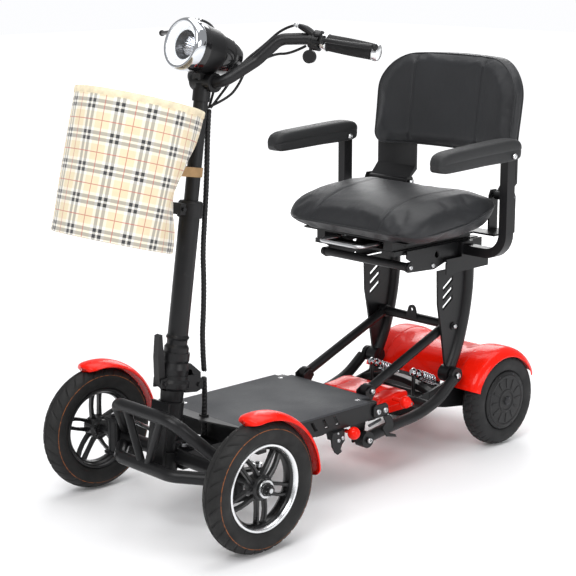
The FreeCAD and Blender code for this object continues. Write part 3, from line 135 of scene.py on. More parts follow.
class Graph:
    """A short way to write a material's nodes."""

    def __init__(self, name):
        self.material = bpy.data.materials.new(name)
        self.material.use_nodes = True
        self.tree = self.material.node_tree
        self.shader = self.tree.nodes["Principled BSDF"]
        self.coordinate = self.tree.nodes.new("ShaderNodeTexCoord")

    def node(self, kind, settings=None, **inputs):
        made = self.tree.nodes.new("ShaderNode" + kind)
        for key, value in (settings or {}).items():
            setattr(made, key, value)
        for key, value in inputs.items():
            self.feed(made, key.replace("_", " "), value)
        return made

    def feed(self, made, key, value):
        socket = made.inputs[int(key[1:])] if key[0] == "i" and key[1:].isdigit() else made.inputs[key]
        if isinstance(value, bpy.types.NodeSocket):
            self.tree.links.new(value, socket)
        elif isinstance(value, tuple) and len(value) == 3 and socket.type == "RGBA":
            socket.default_value = (*value, 1)
        else:
            socket.default_value = value

    def math(self, operation, a, b=0.0):
        made = self.node("Math", {"operation": operation}, i0=a, i1=b)
        return made.outputs[0]

    def noise(self, scale, detail=3.0, stretch=None):
        vector = self.coordinate.outputs["Object"]
        if stretch:
            vector = self.node("Mapping", Vector=vector, Scale=stretch).outputs[0]
        return self.node("TexNoise", Vector=vector, Scale=scale, Detail=detail).outputs["Fac"]

    def cells(self, scale):
        vector = self.coordinate.outputs["Object"]
        return self.node("TexVoronoi", {"feature": "DISTANCE_TO_EDGE"}, Vector=vector,
                         Scale=scale).outputs["Distance"]

    def ramp(self, value, low, high, start=0.0, end=1.0):
        made = self.node("MapRange", i0=value, i1=start, i2=end, i3=low, i4=high)
        return made.outputs[0]

    def blend(self, factor, a, b):
        made = self.node("Mix", {"data_type": "RGBA"})
        self.feed(made, "i0", factor)
        self.feed(made, "i6", a)
        self.feed(made, "i7", b)
        return made.outputs[2]

    def bump(self, height, strength, distance, normal=None):
        made = self.node("Bump", Height=height, Strength=strength, Distance=distance)
        if normal:
            self.feed(made, "Normal", normal)
        return made.outputs[0]

    def set(self, **inputs):
        for key, value in inputs.items():
            self.feed(self.shader, key.replace("_", " "), value)
        return self.material


def painted(name, colour, rough, grain_scale, grain_depth, coat=0.0, specular=0.3, spread=0.25):
    """Paint or plastic: a fine texture, uneven gloss, faint scuffs and softened edges."""
    g = Graph(name)
    broad = g.noise(9, 4)
    shade = tuple(min(1, c * (1 + spread) + 0.002) for c in colour)
    mottled = g.blend(g.ramp(broad, 0, 1, 0.35, 0.7), colour, shade)
    scuff = g.ramp(g.noise(45, 6, stretch=(1, 3, 1)), 0, 0.5, 0.66, 0.74)
    tone = g.blend(scuff, mottled, tuple(min(1, c * 1.6 + 0.012) for c in colour))
    soft = g.node("Bevel", {"samples": 4}, Radius=0.0009).outputs[0]
    g.set(Base_Color=tone, Metallic=0.0, Coat_Weight=coat, Coat_Roughness=0.05, Specular_IOR_Level=specular)
    return g.set(Roughness=g.ramp(broad, rough * 0.85, min(1, rough * 1.2), 0.3, 0.7),
                 Normal=g.bump(g.noise(grain_scale, 2), 0.5, grain_depth, soft))


def metal(name, colour, rough, brush=None, grime=0.25):
    """Bare or plated metal: brushed where brush gives the stretch, with faint smears."""
    g = Graph(name)
    streak = g.noise(220, 2, stretch=brush) if brush else g.noise(300, 2)
    smear = g.noise(14, 4)
    dark = tuple(c * 0.72 for c in colour)
    soft = g.node("Bevel", {"samples": 4}, Radius=0.0006).outputs[0]
    g.set(Base_Color=g.blend(g.ramp(smear, 0, grime, 0.4, 0.75), colour, dark), Metallic=1.0)
    return g.set(Roughness=g.ramp(smear, rough * 0.8, rough * 1.5, 0.3, 0.7),
                 Normal=g.bump(streak, 0.25, 0.00006, soft))


def vinyl(name, colour, rough, cell_scale):
    """Grained leathercloth: small pebbles, soft creases and a dull sheen."""
    g = Graph(name)
    pebble = g.ramp(g.cells(cell_scale), 0, 1, 0.0, 0.12)
    crease = g.noise(16, 5, stretch=(1, 2.2, 1))
    lighter = tuple(c * 1.5 for c in colour)
    tone = g.blend(g.ramp(g.noise(7, 4), 0, 0.75, 0.35, 0.7), colour, lighter)
    inner = g.bump(crease, 0.25, 0.004)
    g.set(Base_Color=tone, Sheen_Weight=0.05, Sheen_Roughness=0.5, Specular_IOR_Level=0.36)
    return g.set(Roughness=g.ramp(pebble, rough * 1.2, rough, 0, 1),
                 Normal=g.bump(pebble, 0.35, 0.00022, inner))


def rubber(name, colour, rough, dust=0.35):
    """Rubber with a dry bloom in its low places and a fine mould texture."""
    g = Graph(name)
    bloom = tuple(c + 0.010 for c in colour)
    tone = g.blend(g.ramp(g.noise(22, 5), 0, dust, 0.4, 0.75), colour, bloom)
    g.set(Base_Color=tone, Specular_IOR_Level=0.35)
    return g.set(Roughness=g.ramp(g.noise(40, 3), rough * 0.85, min(1, rough * 1.15), 0.3, 0.7),
                 Normal=g.bump(g.noise(900, 2), 0.4, 0.00015))


LINE_RADIUS = 0.1125
LINE_HALF_WIDTH = 0.00055


def tyre_rubber():
    """The front tyre's rubber, with a thin coloured line round its wall.

    The UV's second number is the radius in metres.
    """
    g = Graph("tyre_rubber")
    uv = g.node("SeparateXYZ", Vector=g.coordinate.outputs["UV"])
    off_line = g.math("ABSOLUTE", g.math("SUBTRACT", uv.outputs[1], LINE_RADIUS))
    line = g.math("LESS_THAN", off_line, LINE_HALF_WIDTH)
    broken = g.math("MULTIPLY", line, g.ramp(g.noise(160, 2), 0.35, 1, 0.4, 0.55))
    base = g.blend(g.ramp(g.noise(22, 5), 0, 0.5, 0.4, 0.75), (0.012, 0.0118, 0.0118), (0.024, 0.0235, 0.023))
    rings = g.math("SINE", g.math("MULTIPLY", uv.outputs[1], 5200.0))
    height = g.math("ADD", g.math("MULTIPLY", rings, 0.35), g.noise(700, 2))
    g.set(Base_Color=g.blend(broken, base, (0.30, 0.09, 0.02)), Specular_IOR_Level=0.3)
    return g.set(Roughness=g.ramp(g.noise(40, 3), 0.55, 0.78, 0.3, 0.7), Normal=g.bump(height, 0.3, 0.0002))


CHECK_PERIOD = 0.056
THREAD_PERIOD = 0.0011


def tartan():
    """Woven cream cloth with a check: paired charcoal bands, a pale band and a thin red line each way."""
    g = Graph("basket_cloth")
    uv = g.node("SeparateXYZ", Vector=g.coordinate.outputs["UV"])

    def stripe(axis, period, centre, width):
        across = g.math("FRACT", g.math("DIVIDE", uv.outputs[axis], period))
        off = g.math("ABSOLUTE", g.math("SUBTRACT", across, centre / period))
        return g.ramp(off, 1, 0, (width / 2 - 0.0003) / period, (width / 2 + 0.0003) / period)

    def add(a, b):
        return g.math("MAXIMUM", a, b)

    period = CHECK_PERIOD
    charcoal = [add(stripe(a, period, 0.010, 0.0064), stripe(a, period, 0.0205, 0.0064)) for a in (0, 1)]
    pale = [stripe(a, period, 0.0152, 0.028) for a in (0, 1)]
    red = [stripe(a, period, 0.043, 0.0016) for a in (0, 1)]
    ground = g.blend(g.ramp(g.noise(30, 3), 0, 1, 0.35, 0.7), (0.84, 0.73, 0.50), (0.78, 0.66, 0.44))
    tone = g.blend(g.math("MULTIPLY", g.math("ADD", pale[0], pale[1]), 0.42), ground, (0.95, 0.93, 0.88))
    crossing = g.math("MULTIPLY", g.math("ADD", charcoal[0], charcoal[1]), 0.5)
    tone = g.blend(crossing, tone, (0.022, 0.024, 0.03))
    tone = g.blend(g.math("MULTIPLY", add(red[0], red[1]), 0.72), tone, (0.52, 0.07, 0.05))
    threads = [g.math("SINE", g.math("MULTIPLY", uv.outputs[a], 2 * math.pi / THREAD_PERIOD)) for a in (0, 1)]
    weave = g.math("MULTIPLY", threads[0], threads[1])
    rumple = g.bump(g.noise(11, 3), 0.5, 0.004)
    tone = g.blend(g.ramp(weave, 0.0, 0.12, -1, 1), tone, (0.45, 0.42, 0.36))
    g.set(Base_Color=tone, Roughness=0.88, Sheen_Weight=0.2, Sheen_Roughness=0.6, Specular_IOR_Level=0.2)
    return g.set(Normal=g.bump(weave, 0.5, 0.0003, rumple))


def webbing(name, colour):
    """Woven band: a fine uneven weave over two close tones."""
    g = Graph(name)
    tone = g.blend(g.ramp(g.noise(70, 3), 0, 1, 0.35, 0.7), colour, tuple(c * 0.78 for c in colour))
    g.set(Base_Color=tone, Roughness=0.85, Sheen_Weight=0.15, Specular_IOR_Level=0.2)
    swell = g.math("SINE", g.node("SeparateXYZ", Vector=g.coordinate.outputs["Object"]).outputs[0])
    return g.set(Normal=g.bump(g.math("ADD", g.noise(650, 2), swell), 0.5, 0.0004))


def glass(name, tint, rough):
    """Clear plastic or glass with a faint ripple."""
    g = Graph(name)
    g.set(Base_Color=tint, Transmission_Weight=1.0, IOR=1.46)
    return g.set(Roughness=g.ramp(g.noise(25, 3), rough, rough + 0.03, 0.4, 0.7),
                 Normal=g.bump(g.noise(60, 2), 0.05, 0.0003))


def halo_white():
    """The lamp's lit white ring."""
    g = Graph("halo_white")
    tone = g.blend(g.noise(60, 2), (0.86, 0.88, 0.90), (0.95, 0.96, 0.97))
    return g.set(Base_Color=tone, Roughness=0.25, Emission_Color=(1.0, 1.0, 1.0), Emission_Strength=0.55)


# ---------------------------------------------------------------- building pieces

def shade(thing, angle=35):
    data = thing.data
    data.polygons.foreach_set("use_smooth", [True] * len(data.polygons))
    data.set_sharp_from_angle(angle=math.radians(angle))


def piece(name, vertices, faces, material, angle=35, uvs=None):
    data = bpy.data.meshes.new(name)
    data.from_pydata([tuple(v) for v in vertices], [], faces)
    if uvs:
        layer = data.uv_layers.new(name="UVMap")
        for loop in data.loops:
            layer.data[loop.index].uv = uvs[loop.vertex_index]
    thing = bpy.data.objects.new(name, data)
    bpy.context.scene.collection.objects.link(thing)
    data.materials.append(material)
    shade(thing, angle)
    return thing


def settle(thing, body, slot, *nodes):
    """Names the body a piece rides on and the nodes it stands for; slot is not used."""
    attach(thing, body)
    if nodes:
        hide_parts(*nodes)
    return thing


def curve_through(points, steps=6):
    """Points along a smooth curve through the given ones, as tuples of any length."""
    points = [tuple(p) for p in points]
    result = []
    for index in range(len(points) - 1):
        p0 = points[max(index - 1, 0)]
        p1 = points[index]
        p2 = points[index + 1]
        p3 = points[min(index + 2, len(points) - 1)]
        for step in range(steps):
            t = step / steps
            result.append(tuple(
                0.5 * (2 * b + (c - a) * t + (2 * a - 5 * b + 4 * c - d) * t * t
                       + (3 * b - a - 3 * c + d) * t ** 3)
                for a, b, c, d in zip(p0, p1, p2, p3)))
    result.append(points[-1])
    return result


def angles(count):
    """Evenly spaced angles once round, from nought."""
    return [2 * math.pi * k / count for k in range(count)]


def hexagon(angle):
    """How far out a hexagon's side is at an angle, against its corner."""
    return math.cos(math.pi / 6) / math.cos(angle % (math.pi / 3) - math.pi / 6)


def loft(rings, closed=False):
    """Vertices and faces of a skin through rings of equal length; closed joins the last to the first."""
    count = len(rings[0])
    vertices = [point for ring in rings for point in ring]
    faces = []
    pairs = len(rings) if closed else len(rings) - 1
    for index in range(pairs):
        a = index * count
        b = (index + 1) % len(rings) * count
        for side in range(count):
            after = (side + 1) % count
            faces.append((a + side, a + after, b + after, b + side))
    return vertices, faces


def solid(name, rings, material, angle=50, flipped=(False, True)):
    """A skin through rings, closed at both ends; flipped says which end face runs against its ring."""
    vertices, faces = loft(rings)
    count = len(rings[0])
    for first, flip in zip((0, len(vertices) - count), flipped):
        end = range(first, first + count)
        faces.append(tuple(reversed(end) if flip else end))
    return outward(piece(name, vertices, faces, material, angle))


def bars(name, sets, material):
    """Several open bars, each a run of rings, as one piece."""
    vertices, faces = [], []
    for rings in sets:
        base = len(vertices)
        skin, quads = loft(rings)
        vertices += skin
        faces += [tuple(base + index for index in quad) for quad in quads]
    return outward(piece(name, vertices, faces, material, 30))


def turned(name, profile, place, material, segments=96, angle=35, closed=False):
    """A skin turned about the local Z of place. The profile is (radius, height) in millimetres."""
    rings = []
    for radius, height in profile:
        reach = max(radius, 0.02) / 1000
        rings.append([place @ Vector((reach * math.cos(turn), reach * math.sin(turn), height / 1000))
                      for turn in angles(segments)])
    vertices, faces = loft(rings, closed)
    return outward(piece(name, vertices, faces, material, angle))


def outward(thing):
    """Turns the faces of a closed skin to the outside."""
    work = bmesh.new()
    work.from_mesh(thing.data)
    bmesh.ops.recalc_face_normals(work, faces=work.faces)
    work.to_mesh(thing.data)
    work.free()
    return thing


def frames_along(points):
    """A point, its direction and two square directions that don't twist, for each point of a path."""
    result = []
    side = None
    for index, point in enumerate(points):
        along = (points[min(index + 1, len(points) - 1)] - points[max(index - 1, 0)]).normalized()
        if side is None:
            side = along.orthogonal().normalized()
        side = (side - along * side.dot(along)).normalized()
        result.append((point, along, side, along.cross(side)))
    return result


def tube(name, points, radius, material, segments=16, closed=False):
    """A round tube along points with soft ends; radius is one number or one a point, in millimetres."""
    radii = radius if isinstance(radius, list) else [radius] * len(points)
    frames = frames_along(points)
    if closed:
        along = (points[1] - points[-1]).normalized()
        frames[0] = (points[0], along, frames[0][2], frames[0][3])
    rings = []
    for (point, along, side, other), reach in zip(frames, radii):
        rings.append([point + (side * math.cos(turn) + other * math.sin(turn)) * reach / 1000
                      for turn in angles(segments)])
    if not closed:
        first, last = frames[0], frames[-1]
        rings.insert(0, [first[0] + (v - first[0]) * 0.6 - first[1] * radii[0] * 0.00035 for v in rings[0]])
        rings.insert(0, [first[0] + (v - first[0]) * 0.02 - first[1] * radii[0] * 0.00035 for v in rings[0]])
        rings.append([last[0] + (v - last[0]) * 0.6 + last[1] * radii[-1] * 0.00035 for v in rings[-1]])
        rings.append([last[0] + (v - last[0]) * 0.02 + last[1] * radii[-1] * 0.00035 for v in rings[-1]])
    vertices, faces = loft(rings, closed)
    return piece(name, vertices, faces, material, 50)


def cord_curve(name, points, radius, material):
    """A smooth cord with the points as its control points, in millimetre stations."""
    data = bpy.data.curves.new(name, "CURVE")
    data.dimensions = "3D"
    spline = data.splines.new("NURBS")
    spline.points.add(len(points) - 1)
    for target, point in zip(spline.points, points):
        target.co = (*at(*point), 1)
    spline.order_u = 3
    spline.use_endpoint_u = True
    spline.resolution_u = 12
    data.bevel_depth = radius / 1000
    data.bevel_resolution = 5
    data.use_fill_caps = True
    thing = bpy.data.objects.new(name, data)
    bpy.context.scene.collection.objects.link(thing)
    data.materials.append(material)
    return thing


def centreline(thing):
    """The points along a cord's own smooth line."""
    bare = thing.data.copy()
    bare.bevel_depth = 0
    bare.use_fill_caps = False
    probe = bpy.data.objects.new("probe", bare)
    line = bpy.data.meshes.new_from_object(probe)
    points = [vertex.co.copy() for vertex in line.vertices]
    bpy.data.objects.remove(probe)
    bpy.data.meshes.remove(line)
    return points


def resample(points, spacing):
    """Evenly spaced points along a path."""
    result = [points[0]]
    left = spacing
    for start, end in zip(points, points[1:]):
        run = (end - start).length
        gone = 0.0
        while run - gone >= left:
            gone += left
            result.append(start.lerp(end, gone / run))
            left = spacing
        left -= run - gone
    return result


def spiral_wrap(name, points, radius, pitch, width, material):
    """A flat plastic strip wound round a path, in millimetres."""
    step = 0.6
    fine = resample(points, step / 1000)
    frames = frames_along(fine)
    strip = []
    turn = 0.0
    for point, along, side, other in frames:
        turn += 2 * math.pi * step / pitch
        out = side * math.cos(turn) + other * math.sin(turn)
        strip.append((point, along, out))
    profile = [(-width / 2, 0.0), (-width / 2 + 0.5, 0.9), (0.0, 1.15), (width / 2 - 0.5, 0.9),
               (width / 2, 0.0)]
    rings = [[point + out * (radius + rise) / 1000 + along * reach / 1000 for reach, rise in profile]
             for point, along, out in strip]
    count = len(profile)
    vertices = [vertex for ring in rings for vertex in ring]
    faces = []
    for index in range(len(rings) - 1):
        for edge in range(count - 1):
            a = index * count + edge
            faces.append((a, a + 1, a + 1 + count, a + count))
    return piece(name, vertices, faces, material, 60)


def screws(name, places, radius, material, body, slot):
    """Button heads with a hexagon socket; each place is a point and the way the head faces."""
    vertices, faces = [], []
    for point, facing in places:
        turn = Vector((0, 0, 1)).rotation_difference(Vector(facing).normalized()).to_matrix()
        rings = []
        for reach, height in ((1, 0), (1, 0.22), (0.86, 0.5), (0.6, 0.66), (0.46, 0.68)):
            rings.append([(reach * math.cos(a), reach * math.sin(a), height) for a in angles(24)])
        for depth in (0.64, 0.2):
            rings.append([(0.42 * hexagon(a) * math.cos(a), 0.42 * hexagon(a) * math.sin(a), depth)
                          for a in angles(24)])
        rings.append([(0.02 * x, 0.02 * y, 0.2) for x, y, _ in rings[-1]])
        base = len(vertices)
        skin, quads = loft(rings)
        vertices += [Vector(point) + turn @ (Vector(v) * radius / 1000) for v in skin]
        faces += [tuple(base + index for index in quad) for quad in quads]
    return settle(piece(name, vertices, faces, material, 30), body, slot)


# ---------------------------------------------------------------- cords

def add_cord(name, points, radius, material, body, node=None):
    thing = cord_curve(name, points, radius, material)
    settle(thing, body, "cord_sleeve", *([node] if node else []))
    return thing


def make_cords(sleeve, wrap):
    """The wrapped harness behind the column and the cables at the handlebar."""
    lower_points = [(-80, 0, 150), (-80, 0, 186), (-82, 1, 224), (-80, 2, 268)]
    upper_points = [(-80, 2, 283), (-74, 4, 345), (-78, 5, 402), (-80, 5, 460), (-79, 4, 518), (-84, 4, 576)]
    upper_points += [(-90, 3, 634), (-94, 2, 692), (-96, 2, 745), (-100, 2, 790)]
    for name, points, length, bodies in (("harness_lower", lower_points, 0.118, ("chassis", "steering")),
                                         ("harness_upper", upper_points, 0.508, ("tiller", "handlebars"))):
        route = cord_curve(name + "_route", points, 5.0, sleeve)
        line = centreline(route)
        bpy.data.objects.remove(route)
        lead = tube(name + "_lead", line, 5.0, sleeve, 24)
        strip = spiral_wrap(name + "_wrap", line, 4.4, 7.5, 5.6, wrap)
        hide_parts(name)
        for thing in (lead, strip):
            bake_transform(thing)
    x, y, z = -101, 2, 794
    runs = {
        "brake_cable_left": ([(x, y + 4, z), (-128, 30, 840), (-150, 44, 880), (-184, 66, 910),
                              (-202, 100, 944), (-200, 136, 950)], 0.240),
        "throttle_lead": ([(x + 4, y - 2, z), (-120, 34, 812), (-138, 46, 838), (-154, 48, 868),
                           (-190, 88, 896), (-200, 120, 896), (-209, 153, 912)], 0.239),
        "brake_cable_right": ([(x - 3, y - 4, z), (-140, -20, 838), (-160, -44, 878), (-186, -72, 914),
                               (-204, -104, 944), (-200, -136, 950)], 0.240),
    }
    for name, (points, length) in runs.items():
        add_cord(name, points, 2.5, sleeve, "handlebars", "brake_cables")


def facing(direction):
    """The turn that takes local Z to a direction."""
    return Vector((0, 0, 1)).rotation_difference(direction).to_matrix().to_4x4()


def ring_point(place, radius, angle, height):
    """A point at an angle and height about the local Z of place, in millimetres."""
    return place @ Vector((radius * math.cos(angle) / 1000, radius * math.sin(angle) / 1000, height / 1000))


# ---------------------------------------------------------------- basket

BASKET = Matrix.Translation(at(135, 0, 563)) @ Matrix.Rotation(math.radians(-15.7), 4, "Y")
BASKET_HEIGHT = 269
FOLD_AT = 2.3


def basket_radius(angle, height):
    """The cloth wall: a taper, a dent by the column, a slanted fold beside it and shallow buckles."""
    share = height / BASKET_HEIGHT
    radius = 113 + 6.5 * share
    behind = math.cos(angle - math.pi)
    hollow = max(0.0, behind) ** 5
    radius -= 25 * hollow * math.exp(-((share - 0.42) / 0.24) ** 2)
    fold = max(0.0, math.cos(angle - FOLD_AT)) ** 14
    radius -= 25 * fold * math.exp(-((share - 0.43 - 0.2 * (angle - FOLD_AT)) / 0.2) ** 2)
    radius += 2.4 * max(0.0, behind) * math.sin(9 * angle + 5 * share) * math.sin(math.pi * share)
    radius += 1.6 * (noise.noise(Vector((2.2 * math.cos(angle), 2.2 * math.sin(angle), 3 * share))) - 0.1)
    return radius


def make_basket(cloth, band):
    """A cloth wall with thickness, a sagging bottom and a bound rim."""
    around = 144
    levels = 40
    foot = 4
    turns = angles(around)

    def wall(height, inset, drop=0.0):
        return [ring_point(BASKET, basket_radius(a, height) - inset, a, height - drop) for a in turns]

    def base(share, level):
        return [ring_point(BASKET, basket_radius(a, foot) * share, a, level - 2 * (1 - share ** 2))
                for a in turns]

    heights = [foot + (BASKET_HEIGHT - 6) * step / levels for step in range(levels + 1)]
    outside = (0.02, 0.3, 0.6, 0.85, 0.96)
    inside = (0.9, 0.6, 0.3, 0.02)
    rings = [base(share, 3) for share in outside]
    rings += [wall(height, 0) for height in heights]
    rings += [wall(height, 2.4, -2.4 if height < 6 else 0) for height in reversed(heights)]
    rings += [base(share, 6.4) for share in inside]
    uvs = []
    for share in outside:
        uvs += base_uvs(share, around)
    for height in heights + heights[::-1]:
        uvs += [(0.117 * a + 0.5, height / 1000) for a in signed_turns(around)]
    for share in inside:
        uvs += base_uvs(share, around)
    vertices, faces = loft(rings)
    thing = outward(piece("basket_cloth", vertices, faces, cloth, 60, uvs))
    settle(thing, "handlebars", "basket_fabric", "basket")
    rim_low, rim_high = BASKET_HEIGHT - 13, BASKET_HEIGHT - 0.6
    rows = ((rim_low, -0.2), (rim_low + 1, 1.1), (rim_low + 7, 1.4), (rim_high - 0.9, 1.2), (rim_high, 0.2),
            (rim_high, -2.6), (rim_high - 0.9, -3.6), (rim_low + 1, -3.5), (rim_low, -2.2))
    vertices, faces = loft([wall(height, -swell) for height, swell in rows], True)
    settle(outward(piece("basket_rim", vertices, faces, band, 50)), "handlebars", "strap_fabric")
    seam = BASKET_HEIGHT - 11
    stitches = [[ring_point(BASKET, basket_radius(a + t, seam) + 1.3, a + t, seam) for t in (0, 0.010, 0.020)]
                for a in angles(180)]
    sewn("basket_rim_stitches", stitches, 0.35, band, "handlebars", "strap_fabric")


def signed_turns(around):
    """The angles of a ring's points, from nought up to half a turn and on from minus half a turn."""
    return [2 * math.pi * (k if k <= around // 2 else k - around) / around for k in range(around)]


def base_uvs(share, around):
    """The UVs of one ring of the bottom."""
    return [(0.113 * share * math.cos(a) + 0.5, 0.113 * share * math.sin(a) + 0.5)
            for a in signed_turns(around)]


def sewn(name, runs, radius, material, body, slot):
    """Many short threads as one piece."""
    vertices, faces = [], []
    for run in runs:
        frames = frames_along(run)
        base = len(vertices)
        for point, along, side, other in frames:
            vertices += [point + (side * math.cos(t) + other * math.sin(t)) * radius / 1000
                         for t in (0, 2.094, 4.189)]
        for index in range(len(run) - 1):
            for edge in range(3):
                a, b = base + 3 * index + edge, base + 3 * index + (edge + 1) % 3
                faces.append((a, b, b + 3, a + 3))
        faces.append((base, base + 2, base + 1))
        last = base + 3 * (len(run) - 1)
        faces.append((last, last + 1, last + 2))
    return settle(piece(name, vertices, faces, material, 60), body, slot)


# ---------------------------------------------------------------- front wheels

def wheel_place(node, side):
    """The middle of a wheel, with local Z outboard."""
    low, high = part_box(node)
    middle = (Vector(low) + Vector(high)) / 2
    return Matrix.Translation(middle) @ Matrix.Rotation(math.radians(-90 * side), 4, "X")


def tyre_skin(name, place, half_outline, around, cut, material):
    """A tyre turned from half of its outline; cut gives the tread's depth at an angle, radius and height."""
    outline = half_outline + [(radius, -height) for radius, height in reversed(half_outline[:-1])]
    profile = curve_through(outline, 4)
    rings, uvs = [], []
    for angle in angles(around):
        rings.append([ring_point(place, radius - cut(angle, radius, height), angle, height)
                      for radius, height in profile])
        uvs += [(angle * 0.12, radius / 1000) for radius, height in profile]
    vertices, faces = loft(rings, True)
    return outward(piece(name, vertices, faces, material, 40, uvs))


def front_tyre(name, side, material):
    """A tyre with slanted grooves cut in its crown and shoulders."""
    outline = [(84.2, -16), (86, -18.5), (94, -24), (104, -25.6), (112, -24.2), (117.5, -21), (121.5, -16.5),
               (124.8, -11), (126.8, -5.5), (127.3, 0)]
    grooves, tread_from = 30, 113

    def cut(angle, radius, height):
        depth = 0.0
        if radius > tread_from:
            reach = abs(height) / 24
            slant = angle * grooves / (2 * math.pi) + 0.9 * reach + (0.5 if height > 0 else 0)
            groove = max(0.0, 1 - abs(slant - math.floor(slant) - 0.5) / 0.11)
            depth = 2.3 * min(1, groove * 1.6) * min(1, max(0.0, (reach - 0.12) / 0.12))
            depth *= min(1, (radius - tread_from) / 3)
        if abs(height) < 1.6:
            depth = max(depth, 1.5)
        return depth

    place = wheel_place("front_tyre_" + name, side)
    thing = tyre_skin("tyre_front_" + name, place, outline, 600, cut, material)
    settle(thing, "front_wheel_" + name, "tyre_rubber", "front_tyre_" + name)


def spoke_point(place, radius, off, angle, height):
    """A point on a bar that points outward at an angle, off to one side of its middle."""
    x = radius * math.cos(angle) - off * math.sin(angle)
    y = radius * math.sin(angle) + off * math.cos(angle)
    return place @ Vector((x / 1000, y / 1000, height / 1000))


def front_rim(name, side, paint, lip, steel):
    """An alloy rim: a barrel, a machined lip, five pairs of tapering spokes and a hub with a bright ring."""
    place = wheel_place("front_tyre_" + name, side)
    body = "front_wheel_" + name
    barrel = [(83.6, -16.6), (82.6, -17.6), (80.5, -17.4), (78.5, -14), (74, -8), (73, 0), (74, 8),
              (78.5, 14), (80, 16.2), (79, 16.8), (76.8, 13.5), (71.5, 8), (70.4, 0), (71.5, -8),
              (76.6, -13.6), (79, -16.9), (81, -18.4), (83.6, -18.2)]
    thing = turned("rim_barrel_" + name, curve_through([(r, -h) for r, h in barrel], 2), place, paint, 128,
                   40)
    settle(thing, body, "rim_paint", "front_rim_" + name)
    edge = [(75.6, 12.6), (77.2, 16.2), (79.2, 18.2), (82.6, 19.0), (83.9, 18.0), (83.9, 12), (82.2, 11),
            (79.6, 13.2), (77, 12.0)]
    settle(turned("rim_lip_" + name, edge, place, lip, 128, 25, True), body, "rim_paint")
    settle(turned("rim_lip_inner_" + name, [(r, -h) for r, h in edge], place, paint, 128, 25, True), body,
           "rim_paint")
    hub = [(8.3, 19.5), (11.5, 19.5), (12, 20.5), (17.5, 20.5), (18.5, 19.5), (19, 15), (22, 13.6), (24, 11),
           (24, -11), (19, -15), (18, -20), (8.3, -20)]
    settle(turned("rim_hub_" + name, hub, place, paint, 64, 30, True), body, "rim_paint")
    cap = [(12.4, 20.2), (13, 22.2), (17, 22.2), (17.8, 20.2)]
    settle(turned("rim_ring_" + name, cap, place, steel, 64, 25, True), body, "rim_paint")
    spokes = []
    for pair in range(5):
        centre = math.radians(72 * pair + 90)
        for hand in (-1, 1):
            rings = []
            for share in (0, 0.2, 0.45, 0.7, 0.9, 1.0):
                across = hand * (8.5 + 2.2 * math.sin(math.pi * min(1, share * 0.9)) - 1.2 * share)
                top = 8.5 - 2.5 * share + 3.0 * math.sin(math.pi * share)
                half = 4.4 - 1.2 * math.sin(math.pi * share)
                outline = ((-half, top - 10), (-half, top - 2.2), (-half + 1.3, top), (half - 1.3, top),
                           (half, top - 2.2), (half, top - 10))
                rings.append([spoke_point(place, 19 + 56 * share, across + off, centre, height)
                              for off, height in outline])
            spokes.append(rings)
    settle(bars("rim_spokes_" + name, spokes, paint), body, "rim_paint")


def axle_nut(name, side, steel):
    """The bright nut and the axle's end at the hub."""
    place = wheel_place("front_tyre_" + name, side)
    rings = []
    for reach, height in ((11.2, 21.5), (11.2, 23), (9.2, 23.2), (9.2, 29.5), (8.2, 30.4), (5.2, 30.4),
                          (5.2, 34), (4.2, 35), (0.1, 35)):
        flats = reach in (9.2, 8.2)
        rings.append([ring_point(place, reach * (hexagon(angle) if flats else 1), angle, height)
                      for angle in angles(36)])
    settle(bars("axle_nut_" + name, [rings], steel), "knuckle_" + name, "bright_steel")


# ---------------------------------------------------------------- rear wheels

